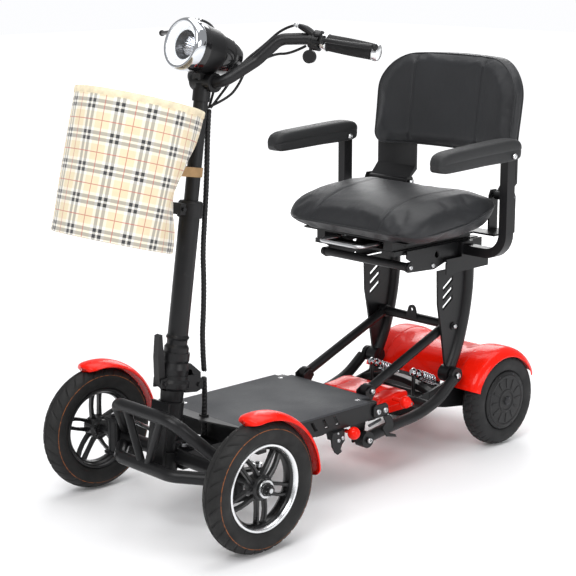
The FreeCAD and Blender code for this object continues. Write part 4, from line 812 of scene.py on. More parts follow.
def rear_wheel(name, side, rubber_material, casing, steel):
    """A hub motor in a block-tread tyre, with a raised pattern on the motor's cover."""
    place = wheel_place("rear_tyre_" + name, side)
    body = "rear_wheel_" + name
    outline = [(66.5, -19), (70, -22), (80, -24.4), (90, -23.6), (96, -20.5), (100, -15.5), (102.4, -8.5),
               (103, 0)]
    blocks, tread_from = 36, 93

    def cut(angle, radius, height):
        if radius <= tread_from:
            return 0.0
        row = 0.5 if abs(height) > 8 else 0.0
        slant = angle * blocks / (2 * math.pi) + row + 0.02 * height
        gap = max(0.0, 1 - abs(slant - math.floor(slant) - 0.5) / 0.14)
        lane = max(0.0, 1 - abs(abs(height) - 8) / 1.4)
        return 2.2 * min(1, 1.8 * max(gap, lane)) * min(1, (radius - tread_from) / 3)

    tyre = tyre_skin("tyre_rear_" + name, place, outline, 480, cut, rubber_material)
    settle(tyre, body, "tyre_rubber", "rear_tyre_" + name)
    cover = [(6.1, 28), (9.5, 28), (10.5, 27), (20, 26.8), (21.5, 28.4), (25, 28.4), (26.5, 26.6), (40, 26.3),
             (52, 25.2), (54, 26.4), (57, 26.2), (58.4, 24.6), (62, 23.6), (65, 22.2), (66, 19.5),
             (66, -19.5), (65, -22.2), (60, -25), (20, -27), (18, -38), (6.1, -38)]
    motor = turned("motor_cover_" + name, cover, place, casing, 128, 25, True)
    settle(motor, body, "motor_casing", "hub_motor_" + name)
    ribs = []
    for angle in angles(12):
        rings = []
        for radius, half, top in ((29, 1.6, 27.4), (34, 2.4, 27.7), (44, 3.2, 27.3), (50, 2.0, 26.8)):
            outline = ((-half, top - 2), (-half, top - 0.5), (-half + 0.6, top), (half - 0.6, top),
                       (half, top - 0.5), (half, top - 2))
            rings.append([spoke_point(place, radius, off, angle, height) for off, height in outline])
        ribs.append(rings)
    settle(bars("motor_ribs_" + name, ribs, casing), body, "motor_casing")
    outboard = place.to_3x3() @ Vector((0, 0, 1))
    heads = [(ring_point(place, 61, math.pi * (k + 0.5) / 4, 23.6), outboard) for k in range(8)]
    screws("motor_screws_" + name, heads, 2.4, steel, body, "bright_steel")
    nut = [(10.2, 28.2), (10.2, 29.6), (8.6, 30), (8.6, 31.4), (0.1, 31.6)]
    settle(turned("motor_nut_" + name, nut, place, steel, 6, 20), "rear_frame", "bright_steel")


# ---------------------------------------------------------------- seat

def between(value, table):
    """Linear interpolation in a sorted table of pairs."""
    if value <= table[0][0]:
        return table[0][1]
    for (x0, y0), (x1, y1) in zip(table, table[1:]):
        if value <= x1:
            return y0 + (y1 - y0) * (value - x0) / (x1 - x0)
    return table[-1][1]


def rounded_outline(corners, radii, per_corner=12, per_side=16):
    """Points round a closed outline in the plane, with each corner rounded."""
    points = []
    count = len(corners)
    arcs = []
    for index in range(count):
        before, corner = Vector(corners[index - 1]), Vector(corners[index])
        after = Vector(corners[(index + 1) % count])
        into, out = (before - corner).normalized(), (after - corner).normalized()
        half = into.angle(out) / 2
        radius = radii[index]
        reach = radius / math.tan(half)
        centre = corner + (into + out).normalized() * radius / math.sin(half)
        start, end = corner + into * reach, corner + out * reach
        arcs.append((centre, start, end))
    for index in range(count):
        centre, start, end = arcs[index]
        a, b = start - centre, end - centre
        for step in range(per_corner):
            t = step / per_corner
            points.append(centre + (a.lerp(b, t)).normalized() * a.length)
        follow = arcs[(index + 1) % count][1]
        for step in range(per_side):
            points.append(end.lerp(follow, step / per_side))
    return points


def swell(thing, voxel, cap, pressure=4.0):
    """Inflates a closed skin as sewn and filled cloth, and keeps every point within cap of where it was."""
    data = thing.data
    remesh = thing.modifiers.new("remesh", "REMESH")
    remesh.mode = "VOXEL"
    remesh.voxel_size = voxel
    depsgraph = bpy.context.evaluated_depsgraph_get()
    rough = bpy.data.meshes.new_from_object(thing.evaluated_get(depsgraph))
    thing.modifiers.clear()
    thing.data = rough
    rest = [vertex.co.copy() for vertex in rough.vertices]
    cloth = thing.modifiers.new("cloth", "CLOTH")
    cloth.settings.use_pressure = True
    cloth.settings.uniform_pressure_force = pressure
    cloth.settings.effector_weights.gravity = 0
    cloth.settings.tension_stiffness = 30
    cloth.settings.compression_stiffness = 30
    cloth.settings.bending_stiffness = 2.5
    cloth.collision_settings.use_collision = False
    scene = bpy.context.scene
    scene.frame_start, scene.frame_end = 1, 20
    cloth.point_cache.frame_start, cloth.point_cache.frame_end = 1, 20
    for step in range(1, 21):
        scene.frame_set(step)
    depsgraph = bpy.context.evaluated_depsgraph_get()
    blown = bpy.data.meshes.new_from_object(thing.evaluated_get(depsgraph))
    thing.modifiers.clear()
    for vertex, moved, start in zip(rough.vertices, blown.vertices, rest):
        shift = moved.co - start
        if shift.length > cap:
            shift *= cap / shift.length
        vertex.co = start + shift
    bpy.data.meshes.remove(blown)
    scene.frame_set(1)
    bpy.data.meshes.remove(data)
    return thing


def smoothed(thing, rounds):
    """Evens out a remeshed skin."""
    work = bmesh.new()
    work.from_mesh(thing.data)
    for _ in range(rounds):
        bmesh.ops.smooth_vert(work, verts=work.verts, factor=0.5, use_axis_x=True, use_axis_y=True,
                              use_axis_z=True)
    work.to_mesh(thing.data)
    work.free()


def subdivided(thing):
    """One subdivision, applied."""
    modifier = thing.modifiers.new("subdivide", "SUBSURF")
    modifier.levels = 1
    modifier.render_levels = 1
    depsgraph = bpy.context.evaluated_depsgraph_get()
    fine = bpy.data.meshes.new_from_object(thing.evaluated_get(depsgraph))
    old = thing.data
    thing.modifiers.clear()
    thing.data = fine
    bpy.data.meshes.remove(old)
    shade(thing, 60)


SEAT_TOP = ((-744, 566), (-730, 574), (-690, 576), (-620, 574), (-570, 569), (-530, 560), (-500, 550),
            (-478, 538), (-464, 528), (-456, 520))
SEAT_PIPING = ((-744, 564), (-726, 556), (-690, 543), (-640, 530), (-560, 522), (-500, 517), (-478, 516),
               (-457, 517))
SEAT_BOTTOM = ((-744, 528), (-700, 511), (-640, 504), (-540, 503), (-500, 507), (-470, 512))


def toward(point, centre, inset):
    """A point of the plane, moved some way toward a centre."""
    return point + (centre - point).normalized() * inset


def seat_outline():
    """The cushion seen from above, with its front corners rounder than the rear ones."""
    corners = [(-743, -205), (-456, -205), (-456, 205), (-743, 205)]
    return rounded_outline(corners, [30, 72, 72, 30], 14, 22)


def make_seat(cover, thread):
    """The seat cushion: sewn panels, a front that rolls over, two sewn channels and piping round the edge."""
    outline = seat_outline()
    centre = Vector((-600, 0))

    def ring(inset, level):
        points = []
        for point in outline:
            inward = (centre - point)
            x = point.x + (centre.x - point.x) * inset / max(inward.length, 1)
            y = point.y + (centre.y - point.y) * inset / max(inward.length, 1)
            points.append(at(x, y, level(point.x, x)))
        return points

    def side_level(share):
        return lambda edge, x: between(edge, SEAT_PIPING) * (1 - share) + between(x, SEAT_TOP) * share

    def under_level(share):
        return lambda edge, x: between(edge, SEAT_BOTTOM) * (1 - share) + between(edge, SEAT_PIPING) * share

    rings = [ring(inset, lambda edge, x: between(x, SEAT_BOTTOM)) for inset in (190, 120, 60, 34)]
    rings += [ring(18, under_level(0.12)), ring(9, under_level(0.5)), ring(3, under_level(0.85)),
              ring(0, under_level(1.0))]
    rings += [ring(3, side_level(0.36)), ring(8, side_level(0.70)), ring(17, side_level(0.93)),
              ring(32, side_level(1.0))]
    rings += [ring(inset, side_level(1.0)) for inset in (70, 110, 150, 190)]
    cushion = solid("seat_cushion_cover", rings, cover, 35, (True, False))
    swell(cushion, 0.005, 0.010)
    smoothed(cushion, 3)
    subdivided(cushion)
    bend_seams(cushion, seat_seams())
    settle(cushion, "seat", "upholstery", "seat_cushion")
    skin = BVHTree.FromObject(cushion, bpy.context.evaluated_depsgraph_get())
    path = [at(p.x, p.y, between(p.x, SEAT_PIPING)) for p in outline]
    path = [stick(skin, point, at(centre.x, centre.y, 535), 0.0006) for point in path]
    settle(tube("seat_piping", evened(path), 2.1, cover, 10, True), "seat", "upholstery")
    runs = []
    for seam in seat_seams():
        for shift in (-3.4, 3.4):
            runs += stitch_runs(skin, [(x, y + shift, z) for x, y, z in seam])
    sewn("seat_stitches", runs, 0.32, thread, "seat", "upholstery")


def stick(skin, point, inside, lift):
    """The skin's own point on the way out from inside through point."""
    way = (point - inside).normalized()
    hit, normal, _, _ = skin.ray_cast(point + way * 0.06, -way, 0.12)
    if hit is None:
        hit, normal, _, _ = skin.find_nearest(point)
    return hit + normal * lift


def evened(path, rounds=6):
    """A closed path with its small wobbles evened out."""
    for _ in range(rounds):
        path = [(path[i - 1] + path[i] * 2 + path[(i + 1) % len(path)]) / 4 for i in range(len(path))]
    return path


def seat_seams():
    """The two sewn channels along the seat, as stations."""
    line = ((-738, 576), (-700, 576), (-640, 575), (-580, 574), (-540, 570), (-505, 563), (-484, 552),
            (-470, 538), (-462, 522))
    return [[(x, side * (97 + 26 * max(0, (-560 - x) / 190)), z) for x, z in line] for side in (-1, 1)]


def bend_seams(thing, seams, depth=0.0026, reach=0.010):
    """Draws the skin in along each seam."""
    lines = []
    for seam in seams:
        lines.append([Vector(point) for point in curve_through([tuple(at(*p)) for p in seam], 8)])
    vertices = thing.data.vertices
    normals = [vertex.normal.copy() for vertex in vertices]
    for vertex, normal in zip(vertices, normals):
        nearest = 1.0
        for line in lines:
            for start, end in zip(line, line[1:]):
                if sum(abs(a - b) for a, b in zip(start, vertex.co)) > 0.05:
                    continue
                run = end - start
                share = max(0.0, min(1.0, (vertex.co - start).dot(run) / run.length_squared))
                nearest = min(nearest, (vertex.co - start - run * share).length)
        if nearest < reach:
            vertex.co -= normal * depth * math.cos(nearest / reach * math.pi / 2) ** 2


def stitch_runs(skin, seam, spacing=0.0042):
    """Short threads along a line, laid on the skin."""
    line = resample([at(*p) for p in curve_through(seam, 8)], spacing / 3)
    laid = []
    for point in line:
        hit, normal, _, _ = skin.find_nearest(point)
        laid.append(hit + normal * 0.0002)
    return [laid[i:i + 3] for i in range(0, len(laid) - 3, 3)]


# ---------------------------------------------------------------- backrest

def back_middle(y):
    """The station of the backrest's middle surface."""
    return -808 + 34 * (y / 205) ** 2


def make_backrest(cover, thread):
    """The backrest: a curved wrapped pad with a front panel, an edge band, piping and two seams."""
    corners = [(-199, 650), (199, 650), (203, 868), (-203, 868)]
    outline = [Vector((p.x, p.y - 13 * max(0, (p.y - 750) / 115) * (p.x / 201) ** 2))
               for p in rounded_outline(corners, [30, 30, 84, 84], 16, 18)]
    centre = Vector((0, 750))

    def lean(z):
        return 0.13 * (z - 690)

    def ring(inset, depth):
        points = []
        for point in outline:
            inward = centre - point
            y = point.x + inward.x * inset / inward.length
            z = point.y + inward.y * inset / inward.length
            points.append(at(back_middle(y) + depth - lean(z), y, z))
        return points

    def inner(share, depth):
        return [at(back_middle(p.x * share) + depth - lean(750 + (p.y - 750) * share), p.x * share,
                   750 + (p.y - 750) * share) for p in outline]

    rings = [inner(share, -20) for share in (0.03, 0.2, 0.4, 0.6, 0.78)] + [ring(24, -20)]
    rings += [ring(12, -19.5), ring(4, -18), ring(0.5, -15), ring(0, -8), ring(0, 2), ring(0.6, 9),
              ring(3.5, 14), ring(10, 17)]
    rings += [ring(24, 18.4)] + [inner(share, 19.4 - share) for share in (0.78, 0.6, 0.4, 0.2, 0.03)]
    pad = solid("backrest_cover", rings, cover, 35)
    swell(pad, 0.005, 0.007)
    smoothed(pad, 3)
    subdivided(pad)
    seams = [[(back_middle(97) + 22 - lean(z), side * 97, z) for z in range(656, 866, 14)]
             for side in (-1, 1)]
    bend_seams(pad, seams, 0.0020, 0.008)
    settle(pad, "backrest", "upholstery", "backrest_cushion")
    skin = BVHTree.FromObject(pad, bpy.context.evaluated_depsgraph_get())
    for edge, depth in (("front", 12.5), ("rear", -16)):
        path = []
        for point in outline:
            inward = (centre - point).normalized()
            y, z = point.x + inward.x * 2.5, point.y + inward.y * 2.5
            hit, normal, _, _ = skin.find_nearest(at(back_middle(y) + depth - lean(z), y, z))
            path.append(hit + normal * 0.0005)
        settle(tube("backrest_piping_" + edge, evened(path), 1.9, cover, 10, True), "backrest", "upholstery")
    runs = []
    for seam in seams:
        for shift in (-3.2, 3.2):
            runs += stitch_runs(skin, [(x, y + shift, z) for x, y, z in seam])
    sewn("backrest_stitches", runs, 0.32, thread, "backrest", "upholstery")


# ---------------------------------------------------------------- armrests

def make_arm_pad(name, side, skin):
    """A moulded armrest: a soft top over a tapering underside, a turned-down tip and a parting groove."""
    centre = 236 * side
    tops = ((-738, 686), (-736, 694), (-729, 701), (-712, 705), (-680, 704.5), (-640, 702.5), (-580, 699),
            (-530, 696), (-506, 693.5), (-492, 688), (-485, 681), (-481, 671))
    unders = ((-738, 680), (-737, 671), (-733, 664), (-720, 660), (-690, 658), (-620, 657), (-560, 654.5),
              (-520, 653), (-500, 652.5), (-490, 654), (-484, 659), (-481, 665))
    halves = ((-738, 14), (-736, 18), (-728, 21), (-700, 21.7), (-560, 21.7), (-510, 21.2), (-494, 19),
              (-484, 14), (-481, 10))
    stations = [-738, -737.4, -736, -733, -728, -720] + [-708 + 12 * k for k in range(17)]
    stations += [-508, -500, -494, -489, -485.5, -483, -481.6, -481]
    rings = []
    for x in stations:
        top, under, half = between(x, tops), between(x, unders), between(x, halves)
        height = top - under
        section = [(-0.78, 0), (-0.9, 0.03), (-0.95, 0.10), (-0.96, 0.40), (-0.93, 0.47), (-0.93, 0.50),
                   (-1.0, 0.56), (-1.0, 0.74), (-0.95, 0.88), (-0.82, 0.97), (-0.55, 1.0), (-0.2, 1.015)]
        section = section + [(-a, b) for a, b in reversed(section)]
        rings.append([at(x, centre + half * a, under + height * b) for a, b in section])
    thing = solid("armrest_pad_" + name, rings, skin, 50, (False, False))
    modifier = thing.modifiers.new("soften", "SUBSURF")
    modifier.levels = modifier.render_levels = 2
    settle(thing, "armrest_" + name, "arm_skin", "arm_pad_" + name)


# ---------------------------------------------------------------- lamp

LAMP_TILT = math.radians(15)


def make_lamp(shell, chrome, mirror, clear, dark, white):
    """The headlamp: a teardrop shell, a rolled bezel and a white halo round a small fluted reflector."""
    along = Vector((math.cos(LAMP_TILT), 0, math.sin(LAMP_TILT)))
    place = Matrix.Translation(at(-42, 0, 916)) @ facing(along)
    outline = [(0.1, -142), (7, -141.4), (15, -138), (28, -126), (37.5, -101), (43.5, -68), (46.6, -36),
               (48, -20), (48.2, -14.2), (45.5, -14.2), (44, -34), (38, -66), (0.1, -66)]
    settle(turned("lamp_shell", curve_through(outline[:9], 6) + outline[9:], place, shell, 128, 30),
           "handlebars", "black_plastic")
    rim = curve_through([(41, 7.6), (43.5, 8.6), (46.2, 8), (48.6, 4.6), (50, 0), (50.3, -8), (49.6, -13),
                         (48.4, -13.6)], 4)
    rim += [(46.5, -13.6), (44, -8), (43, 3), (41, 6.2)]
    settle(turned("lamp_rim", rim, place, chrome, 128, 30, True), "handlebars", "bright_trim", "lamp_bezel")
    halo = turned("lamp_halo", [(42.6, 4.6), (41, 2.6), (34, -1.2), (28.5, -3.4), (27.6, -5), (29, -6.5),
                                (42.4, -1)], place, white, 128, 30, True)
    settle(halo, "handlebars", "lamp_glass")
    settle(turned("lamp_recess", [(28.4, -5), (27.4, -6.5), (21, -13), (17.6, -15), (17, -18), (19, -20),
                                  (29, -9)], place, dark, 128, 25, True), "handlebars", "black_plastic")
    gap = [(42.4, 6.6), (43.4, 7.2), (43.8, 6.2), (42.6, 5.2)]
    settle(turned("lamp_gap", gap, place, dark, 128, 30, True), "handlebars", "black_plastic")
    rings = []
    for radius, height in ((17.6, -15.5), (15, -21), (12, -28), (9, -33), (6, -36), (0.1, -37)):
        flutes = 0.45 * min(1, radius / 12) if radius > 5 else 0
        rings.append([ring_point(place, radius + flutes * math.cos(angle * 20), angle,
                                 height + flutes * math.cos(angle * 20)) for angle in angles(240)])
    vertices, faces = loft(rings)
    settle(piece("lamp_reflector", vertices, faces, mirror, 20), "handlebars", "bright_trim")
    glass_front = [(0.1, 4.2), (12, 3.9), (24, 2.9), (34, 1.2), (41.2, -1.5)]
    profile = glass_front + [(41.2, -3.0), (34, -0.8), (24, 0.9), (12, 1.9), (0.1, 2.2)]
    settle(turned("lamp_glass_front", profile, place, clear, 96, 60), "handlebars", "lamp_glass", "lamp_lens")
    screws("lamp_screws",
           [(ring_point(place, 50, a, -8), place.to_3x3() @ Vector((math.cos(a), math.sin(a), 0)))
            for a in (math.radians(-35), math.radians(145))], 2.6, dark, "handlebars", "bright_trim")


# ---------------------------------------------------------------- painted covers

REAR_AXLE = (-818.3, 103.5)


def make_rear_cover(red):
    """The rear cover: a smooth hump and a crowned arch over each wheel."""
    outline = curve_through([(-712, 150), (-718, 168), (-732, 187), (-756, 202), (-790, 211), (-828, 210),
                             (-866, 202), (-896, 184), (-915, 158), (-926, 130)], 4)
    rings = []
    crown = [62 + 4 * k for k in range(13)]
    across = [-111.5] + [-110 + 4 * k for k in range(13)] + [-40, 0, 40] + crown + [111.5]
    middle = Vector((-815, 120))
    wheel = Vector(REAR_AXLE)
    for x, z in outline:
        way = Vector((x, z)) - middle
        reach = way.length
        way /= reach
        back = middle - wheel
        arch = -back.dot(way) + math.sqrt(max(0, back.dot(way) ** 2 - back.length_squared + 117.6 ** 2))
        outer, inner = [], []
        for y in across:
            rise = min(1, max(0, (abs(y) - 66) / 42))
            level = reach + (arch - reach) * rise * rise * (3 - 2 * rise)
            outer.append(at(middle.x + way.x * level, y, middle.y + way.y * level))
            inner.append(at(middle.x + way.x * (level - 2.4), y * 0.99, middle.y + way.y * (level - 2.4)))
        rings.append(outer + inner[::-1])
    settle(solid("rear_cover_hump", rings, red), "rear_frame", "red_paint", "rear_cover")
    axle = at(REAR_AXLE[0], 0, REAR_AXLE[1])
    for name, side in SIDES.items():
        section = curve_through([(110, 117.4), (112, 118.6), (126, 119), (142, 118.8), (153, 117.2),
                                 (161, 113.6), (167, 108), (171, 101)], 4)
        section += curve_through([(170, 98.6), (166.6, 102), (165, 106.6), (159, 111.4), (152, 114.6),
                                  (142, 116.4), (126, 116.6), (111.5, 116.2)], 4)
        rings = []
        for step in range(55):
            angle = math.radians(70 - 2.5 * step)
            swing = 2.6 * (max(0, abs(angle + math.radians(-2.5)) - math.radians(58)) / math.radians(10)) ** 2
            rings.append([axle + Vector(((r - swing) * math.sin(angle) / 1000, side * y / 1000,
                                         (r - swing) * math.cos(angle) / 1000)) for y, r in section])
        settle(solid("rear_arch_" + name, rings, red), "rear_frame", "red_paint")


def make_fender(name, side, red):
    """A front mudguard with a crowned section, a rolled edge and rounded ends."""
    place = wheel_place("front_tyre_" + name, side)
    start, end = math.radians(75), math.radians(184)
    rings = []
    steps = 60
    for step in range(steps + 1):
        share = step / steps
        angle = start + (end - start) * share
        tip = min(share, 1 - share) * (end - start) * 139
        width = 30 * min(1.0, (max(0.0, 1 - (1 - min(1, tip / 24)) ** 2.2)) ** 0.45 + 0.02)
        outer, inner = [], []
        for k in range(17):
            across = -1 + k / 8
            crown = 142 - 9.6 * abs(across) ** 2.3 - (1.5 if abs(across) > 0.95 else 0)
            crown -= 9.6 * (1 - width / 30) ** 1.5 * 0.25
            outer.append((crown, across * width))
            inner.append((crown - 2.0, across * (width - (1.6 if abs(across) > 0.9 else 0))))
        turn = angle if side < 0 else -angle
        rings.append([ring_point(place, radius, turn, height)
                      for radius, height in outer + list(reversed(inner))])
    thing = solid("mudguard_" + name, rings, red)
    settle(thing, "knuckle_" + name, "red_paint", "front_fender_" + name)


def make_controller_cover(red, steel):
    """The red box: rounded on every edge, with a raised lid and two ribs."""
    outline = rounded_outline([(-484, 120.6), (-584, 120.6), (-584, 157), (-560, 160), (-500, 154),
                               (-484, 141)], [3, 3, 7, 12, 14, 7], 6, 4)
    rings = []
    centre = Vector((-534, 139))
    for y, inset in ((-89, 8), (-88.4, 5), (-86.5, 2.4), (-83, 0.6), (-79, 0), (-52, 0), (-51, 0.8),
                     (-49, 0.8), (-48, 0), (48, 0), (49, 0.8), (51, 0.8), (52, 0), (79, 0), (83, 0.6),
                     (86.5, 2.4), (88.4, 5), (89, 8)):
        rings.append([at(p.x, y, p.y) for p in (toward(q, centre, inset) for q in outline)])
    thing = solid("controller_case", rings, red, 40)
    settle(thing, "rear_frame", "red_paint", "controller_cover")
    heads = [(at(x, 89, z), (0, 1, 0)) for x, z in ((-500, 140), (-568, 142))]
    screws("controller_screws", heads, 3.2, steel, "rear_frame", "bright_steel")


# ---------------------------------------------------------------- handlebar details

GRIP_START = (-208, 160, 926)
GRIP_END = (-262, 284, 904)


def grip_frame(side):
    """The place of one grip: local Z runs outboard along it, X forward."""
    start = at(GRIP_START[0], side * GRIP_START[1], GRIP_START[2])
    along = (at(GRIP_END[0], side * GRIP_END[1], GRIP_END[2]) - start).normalized()
    forward = Vector((1, 0, 0))
    forward = (forward - along * forward.dot(along)).normalized()
    other = along.cross(forward)
    return Matrix.Translation(start) @ Matrix((forward, other, along)).transposed().to_4x4()


def make_grip(name, side, rubber_material, bright):
    """A ribbed rubber sleeve between two bright collars."""
    place = grip_frame(side)
    profile = [(11.3, 42.2), (15.6, 42.2)]
    for k in range(42):
        height = 43.4 + 2.05 * k
        if height < 128.6:
            swell_out = 15.2 + 0.7 * math.sin(math.pi * (height - 42) / 87)
            profile += [(swell_out, height), (swell_out, height + 1.2), (swell_out - 0.6, height + 1.35),
                        (swell_out - 0.6, height + 1.95)]
    profile += [(15.6, 129.6), (11.3, 129.6)]
    settle(turned("grip_sleeve_" + name, profile, place, rubber_material, 64, 30, True), "handlebars",
           "grip_rubber", "grips")
    flange = [(11.3, 28.4), (14.4, 28.4), (14.8, 29.4), (14.8, 34), (16.6, 36), (17, 38.5), (16.6, 41),
              (14, 41.4), (11.3, 41.4)]
    settle(turned("grip_flange_" + name, flange, place, bright, 64, 25, True), "handlebars", "bright_trim",
           "grip_trims")
    cap = [(11.3, 131), (16.2, 131), (16.4, 131.8), (16.4, 134), (16, 137), (14.8, 140.6), (12, 142.4),
           (6, 142.9), (0.1, 143), (0.1, 136.4), (11.3, 135)]
    settle(turned("grip_cap_" + name, cap, place, bright, 64, 30, True), "handlebars", "bright_trim")


def make_dampers(chrome, black):
    """Two bright coil-over dampers under the seat frame, and the arched cross band in front of them."""
    for name, side in SIDES.items():
        high, low = at(-628, side * 62, 184), at(-704, side * 62, 148)
        along = (low - high).normalized()
        place = Matrix.Translation(high) @ facing(along)
        reach = (low - high).length * 1000
        profile = [(0.1, -9), (5, -8.4), (8.6, -4), (9, 0), (7, 6), (6.2, 8), (9.6, 11), (10.4, 16),
                   (9.6, 21), (6.4, 24), (5, 27), (5, reach - 12), (8, reach - 11), (9.4, reach - 4),
                   (8.4, reach + 4), (0.1, reach + 8)]
        settle(turned("damper_" + name, profile, place, chrome, 48, 30), "rear_frame", "bright_steel",
               "dampers")
        coil = []
        turns, first, last = 4.5, 28, reach - 13
        for k in range(int(turns * 24) + 1):
            angle = 2 * math.pi * k / 24
            coil.append(ring_point(place, 8.6, angle, first + (last - first) * k / (turns * 24)))
        settle(tube("damper_spring_" + name, coil, 2.3, chrome, 12), "rear_frame", "bright_steel")
        for foot, top, x in (("front", 180, -628), ("rear", 146, -704)):
            stay = [at(x, side * 62, 124), at(x, side * 62, top)]
            settle(tube("damper_stay_%s_%s" % (foot, name), stay, 4.2, black, 12), "rear_frame",
                   "frame_paint")
    section = [(-11, -5), (-9, -7), (9, -7), (11, -5), (11, 5), (9, 7), (-9, 7), (-11, 5)]
    rings = [[at(-645 + x, y, 157 - 17 * (y / 98) ** 2 + z) for x, z in section] for y in range(-104, 105, 8)]
    settle(solid("cross_band", rings, black, 40), "rear_frame", "frame_paint")


def slab(name, outline, low, high, material, body, slot):
    """A flat plate in the X-Z plane between two heights across, with softened edges."""
    inner = [Vector(p) for p in outline]
    middle = sum(inner, Vector((0, 0))) / len(inner)
    rings = []
    for y, inset in ((low, 0.5), (low + 0.5, 0), (high - 0.5, 0), (high, 0.5)):
        rings.append([at(p.x, y, p.y) for p in (toward(q, middle, inset) for q in inner)])
    return settle(solid(name, rings, material, 30), body, slot)


def make_latch(black, steel, dark, red):
    """The catch under the deck's left rail, the bolted plate behind it and the red flange on the frame."""
    claw = [(-290, 140.5), (-319, 140.5), (-324, 130), (-325, 119), (-317, 111), (-313, 103), (-316, 96),
            (-305, 92), (-297, 98), (-289, 112), (-287, 128)]
    slab("latch_claw", claw, 146, 150, black, "chassis", "frame_paint")
    slab("latch_block", [(-294, 141), (-328, 141), (-328, 120), (-300, 120)], 124, 146.2, black, "chassis",
         "frame_paint")
    screws("latch_claw_screws", [(at(-306, 150, 122), (0, 1, 0)), (at(-318, 150, 125), (0, 1, 0))], 4.2,
           steel, "chassis", "bright_steel")
    screws("latch_claw_stud", [(at(-305, 150, 137), (0, 1, 0))], 2.6, steel, "chassis", "bright_steel")
    plate = [(-412, 166), (-418, 171), (-448, 171), (-455, 165), (-458, 148), (-452, 143), (-420, 143),
             (-412, 150)]
    slab("latch_plate", plate, 144.4, 147.4, black, "chassis", "frame_paint")
    screws("latch_plate_screws", [(at(x, 147.4, 156), (0, 1, 0)) for x in (-425, -446)], 6.2, steel,
           "chassis", "bright_steel")
    hook = [(-438, 144), (-458, 144), (-466, 134), (-470, 121), (-464, 109), (-454, 105), (-476, 97),
            (-479, 91), (-449, 98), (-436, 119), (-446, 130)]
    slab("latch_hook", hook, 147.2, 150.2, black, "chassis", "frame_paint")
    pin = [at(-396, 149, 133), at(-430, 149, 139.5)]
    settle(tube("latch_pin", pin, 3.0, dark, 16), "chassis", "bright_steel")
    flange = [(-450, 137), (-470, 141), (-560, 141), (-578, 138), (-584, 131), (-576, 127), (-452, 128),
              (-447, 132)]
    slab("red_flange", flange, 102.6, 105.2, red, "rear_frame", "red_paint")
    screws("red_flange_screws", [(at(x, 105.2, z), (0, 1, 0)) for x, z in ((-458, 134), (-574, 133))], 3.6,
           steel, "rear_frame", "bright_steel")


def make_perch_noses(body, bright):
    """The slim lever bodies, each with the bright barrel its cable enters."""
    for name, side in SIDES.items():
        line = curve_through([(-200, 146, 948.5), (-201, 158, 945), (-203, 170, 940), (-204, 180, 935)], 5)
        points = [at(x, side * y, z) for x, y, z in line]
        radii = [4.6 + 2.2 * math.sin(math.pi * k / (len(points) - 1)) for k in range(len(points))]
        settle(tube("lever_nose_" + name, points, radii, body, 20), "handlebars", "black_plastic")
        barrel = [at(-200, side * y, 950.4 - 0.12 * (y - 133)) for y in (133, 134, 139, 139.5, 144, 145)]
        settle(tube("cable_barrel_" + name, barrel, [3.2, 4.2, 4.2, 3.4, 3.4, 4.6], bright, 16), "handlebars",
               "bright_trim")


def dress_frame(steel, bright):
    """Bolts, washers and small fittings on the frame."""
    deck = [(at(x, y, 178.2), (0, 0, 1)) for x in (-128, -396) for y in (-116, 116)]
    screws("deck_screw_heads", deck, 5.0, bright, "chassis", "bright_steel")
    skirt = [(at(-89.2, side * 86, 158), (1, 0, 0)) for side in (-1, 1)]
    screws("skirt_screw_heads", skirt, 5.6, bright, "chassis", "bright_steel")
    heads, seat_heads = [], []
    for side in (-1, 1):
        out = (0, side, 0)
        seat_heads += [(at(-699, side * 116, 285), out), (at(-615, side * 122.2, 433), out)]
        heads += [(at(-394, side * 153, 103), out), (at(-450, side * 107, 186), out)]
        seat_heads.append((at(-538, side * 128.2, 440), out))
        seat_heads.append((at(-733, side * 134.2, 456), out))
    screws("chassis_screws", heads, 6.2, steel, "chassis", "bright_steel")
    screws("seat_frame_screws", seat_heads, 5.2, steel, "seat_frame", "bright_steel")
    screws("pivot_screws", [(at(-687, side * 138, 180), (0, side, 0)) for side in (-1, 1)], 7, steel,
           "rear_frame", "bright_steel")
    for name, side in SIDES.items():
        both = [(at(-706, 236 * side + 23 * hand, 670), (0, hand, 0)) for hand in (-1, 1)]
        screws("arm_screws_" + name, both, 6, bright, "seat_frame", "bright_steel")
        ends = [(at(-766, side * 209, 572), (0, side, 0))]
        if side < 0:
            ends.append((at(-766, -78, 572), (0, 1, 0)))
        screws("hinge_screws_" + name, ends, 6, bright, "seat", "bright_steel")


# ---------------------------------------------------------------- the whole

def make_floor():
    """A white floor that fades into the backdrop with distance and still takes the contact shadow."""
    floor_look = Graph("floor")
    away = floor_look.node("VectorMath", {"operation": "LENGTH"})
    floor_look.material.node_tree.links.new(floor_look.coordinate.outputs["Object"], away.inputs[0])
    glow = floor_look.ramp(away.outputs["Value"], 0.04, 0.72, 1.0, 3.6)
    floor_look.set(Base_Color=(0.93, 0.93, 0.94), Roughness=0.6, Emission_Color=(1.0, 1.0, 1.0),
                   Emission_Strength=glow)
    floor = piece("floor", [(-14, -14, 0), (14, -14, 0), (14, 14, 0), (-14, 14, 0)], [(0, 1, 2, 3)],
                  floor_look.material)


def dress_nodes(looks):
    """Gives every carried-over node its finish."""
    for node, look in looks.items():
        slots = NODES[node].material_slots
        if slots:
            for slot in slots:
                slot.material = look
        else:
            NODES[node].data.materials.append(look)


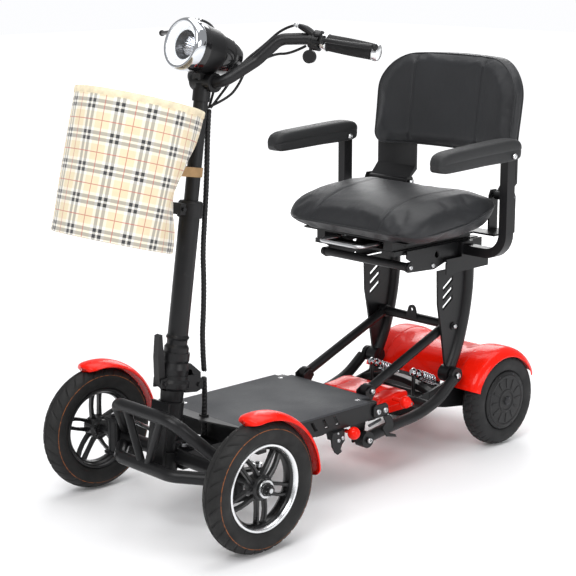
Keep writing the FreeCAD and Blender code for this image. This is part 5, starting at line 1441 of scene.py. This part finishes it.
def main():
    set_camera()
    set_studio()
    sleeve = rubber("cord_sleeve", (0.009, 0.009, 0.0095), 0.5)
    wrap = painted("spiral_wrap_plastic", (0.010, 0.010, 0.011), 0.36, 500, 0.00006)
    make_cords(sleeve, wrap)

    black = painted("frame_black", (0.0065, 0.0065, 0.0072), 0.36, 700, 0.00014)
    deck = painted("deck_grey", (0.040, 0.042, 0.047), 0.60, 1100, 0.00045, spread=0.12)
    plastic = painted("black_plastic", (0.0075, 0.0075, 0.008), 0.34, 900, 0.00010)
    gloss = painted("lamp_black", (0.004, 0.004, 0.0045), 0.14, 40, 0.00002, coat=0.5)
    red = painted("red_paint", (0.86, 0.010, 0.002), 0.26, 60, 0.00004, coat=0.22, specular=0.12, spread=0.05)
    chrome = metal("chrome", (0.68, 0.70, 0.73), 0.06, grime=0.35)
    steel = metal("zinc_steel", (0.60, 0.61, 0.62), 0.24)
    mirror = metal("reflector", (0.86, 0.86, 0.88), 0.12, grime=0.2)
    bright = metal("machined_lip", (0.80, 0.81, 0.82), 0.20, brush=(1, 1, 12))
    rim_paint = painted("rim_black", (0.0075, 0.0075, 0.008), 0.28, 500, 0.00005, coat=0.2)
    casing = painted("motor_casing", (0.009, 0.009, 0.0095), 0.42, 800, 0.00016)
    tyre = tyre_rubber()
    plain_tyre = rubber("rear_tyre_rubber", (0.012, 0.012, 0.0125), 0.66)
    grip = rubber("grip_rubber", (0.009, 0.009, 0.0095), 0.6)
    leather = vinyl("seat_vinyl", (0.0125, 0.0132, 0.015), 0.42, 620)
    arm_skin = vinyl("arm_skin", (0.0115, 0.012, 0.013), 0.50, 900)
    thread = rubber("thread", (0.03, 0.031, 0.034), 0.7, 0.2)
    cloth = tartan()
    strap = webbing("tan_webbing", (0.40, 0.25, 0.12))
    rim_band = webbing("basket_binding", (0.86, 0.75, 0.54))
    clear = glass("clear_glass", (0.96, 0.98, 1.0, 1), 0.01)
    dark_steel = metal("dark_steel", (0.07, 0.07, 0.075), 0.34)
    recess = metal("lamp_recess_metal", (0.07, 0.07, 0.075), 0.3)
    halo = halo_white()

    slot_looks = {"deck_surface": deck, "bright_steel": steel, "bright_trim": chrome, "red_paint": red,
                  "black_plastic": plastic, "strap_fabric": strap, "rim_paint": rim_paint,
                  "motor_casing": casing}
    dress_nodes({entry["node"]: slot_looks.get(entry["material_slot"], black)
                 for entry in frame["record"]["subparts"]})

    make_basket(cloth, rim_band)
    for name, side in SIDES.items():
        front_tyre(name, side, tyre)
        front_rim(name, side, rim_paint, bright, steel)
        axle_nut(name, side, steel)
        rear_wheel(name, side, plain_tyre, casing, dark_steel)
        make_fender(name, side, red)
        make_arm_pad(name, side, arm_skin)
        make_grip(name, side, grip, bright)
    make_seat(leather, thread)
    make_backrest(leather, thread)
    make_lamp(gloss, chrome, mirror, clear, recess, halo)
    make_rear_cover(red)
    make_controller_cover(red, steel)
    make_dampers(chrome, black)
    make_latch(black, steel, dark_steel, red)
    make_perch_noses(plastic, bright)
    dress_frame(steel, bright)
    make_floor()


main()
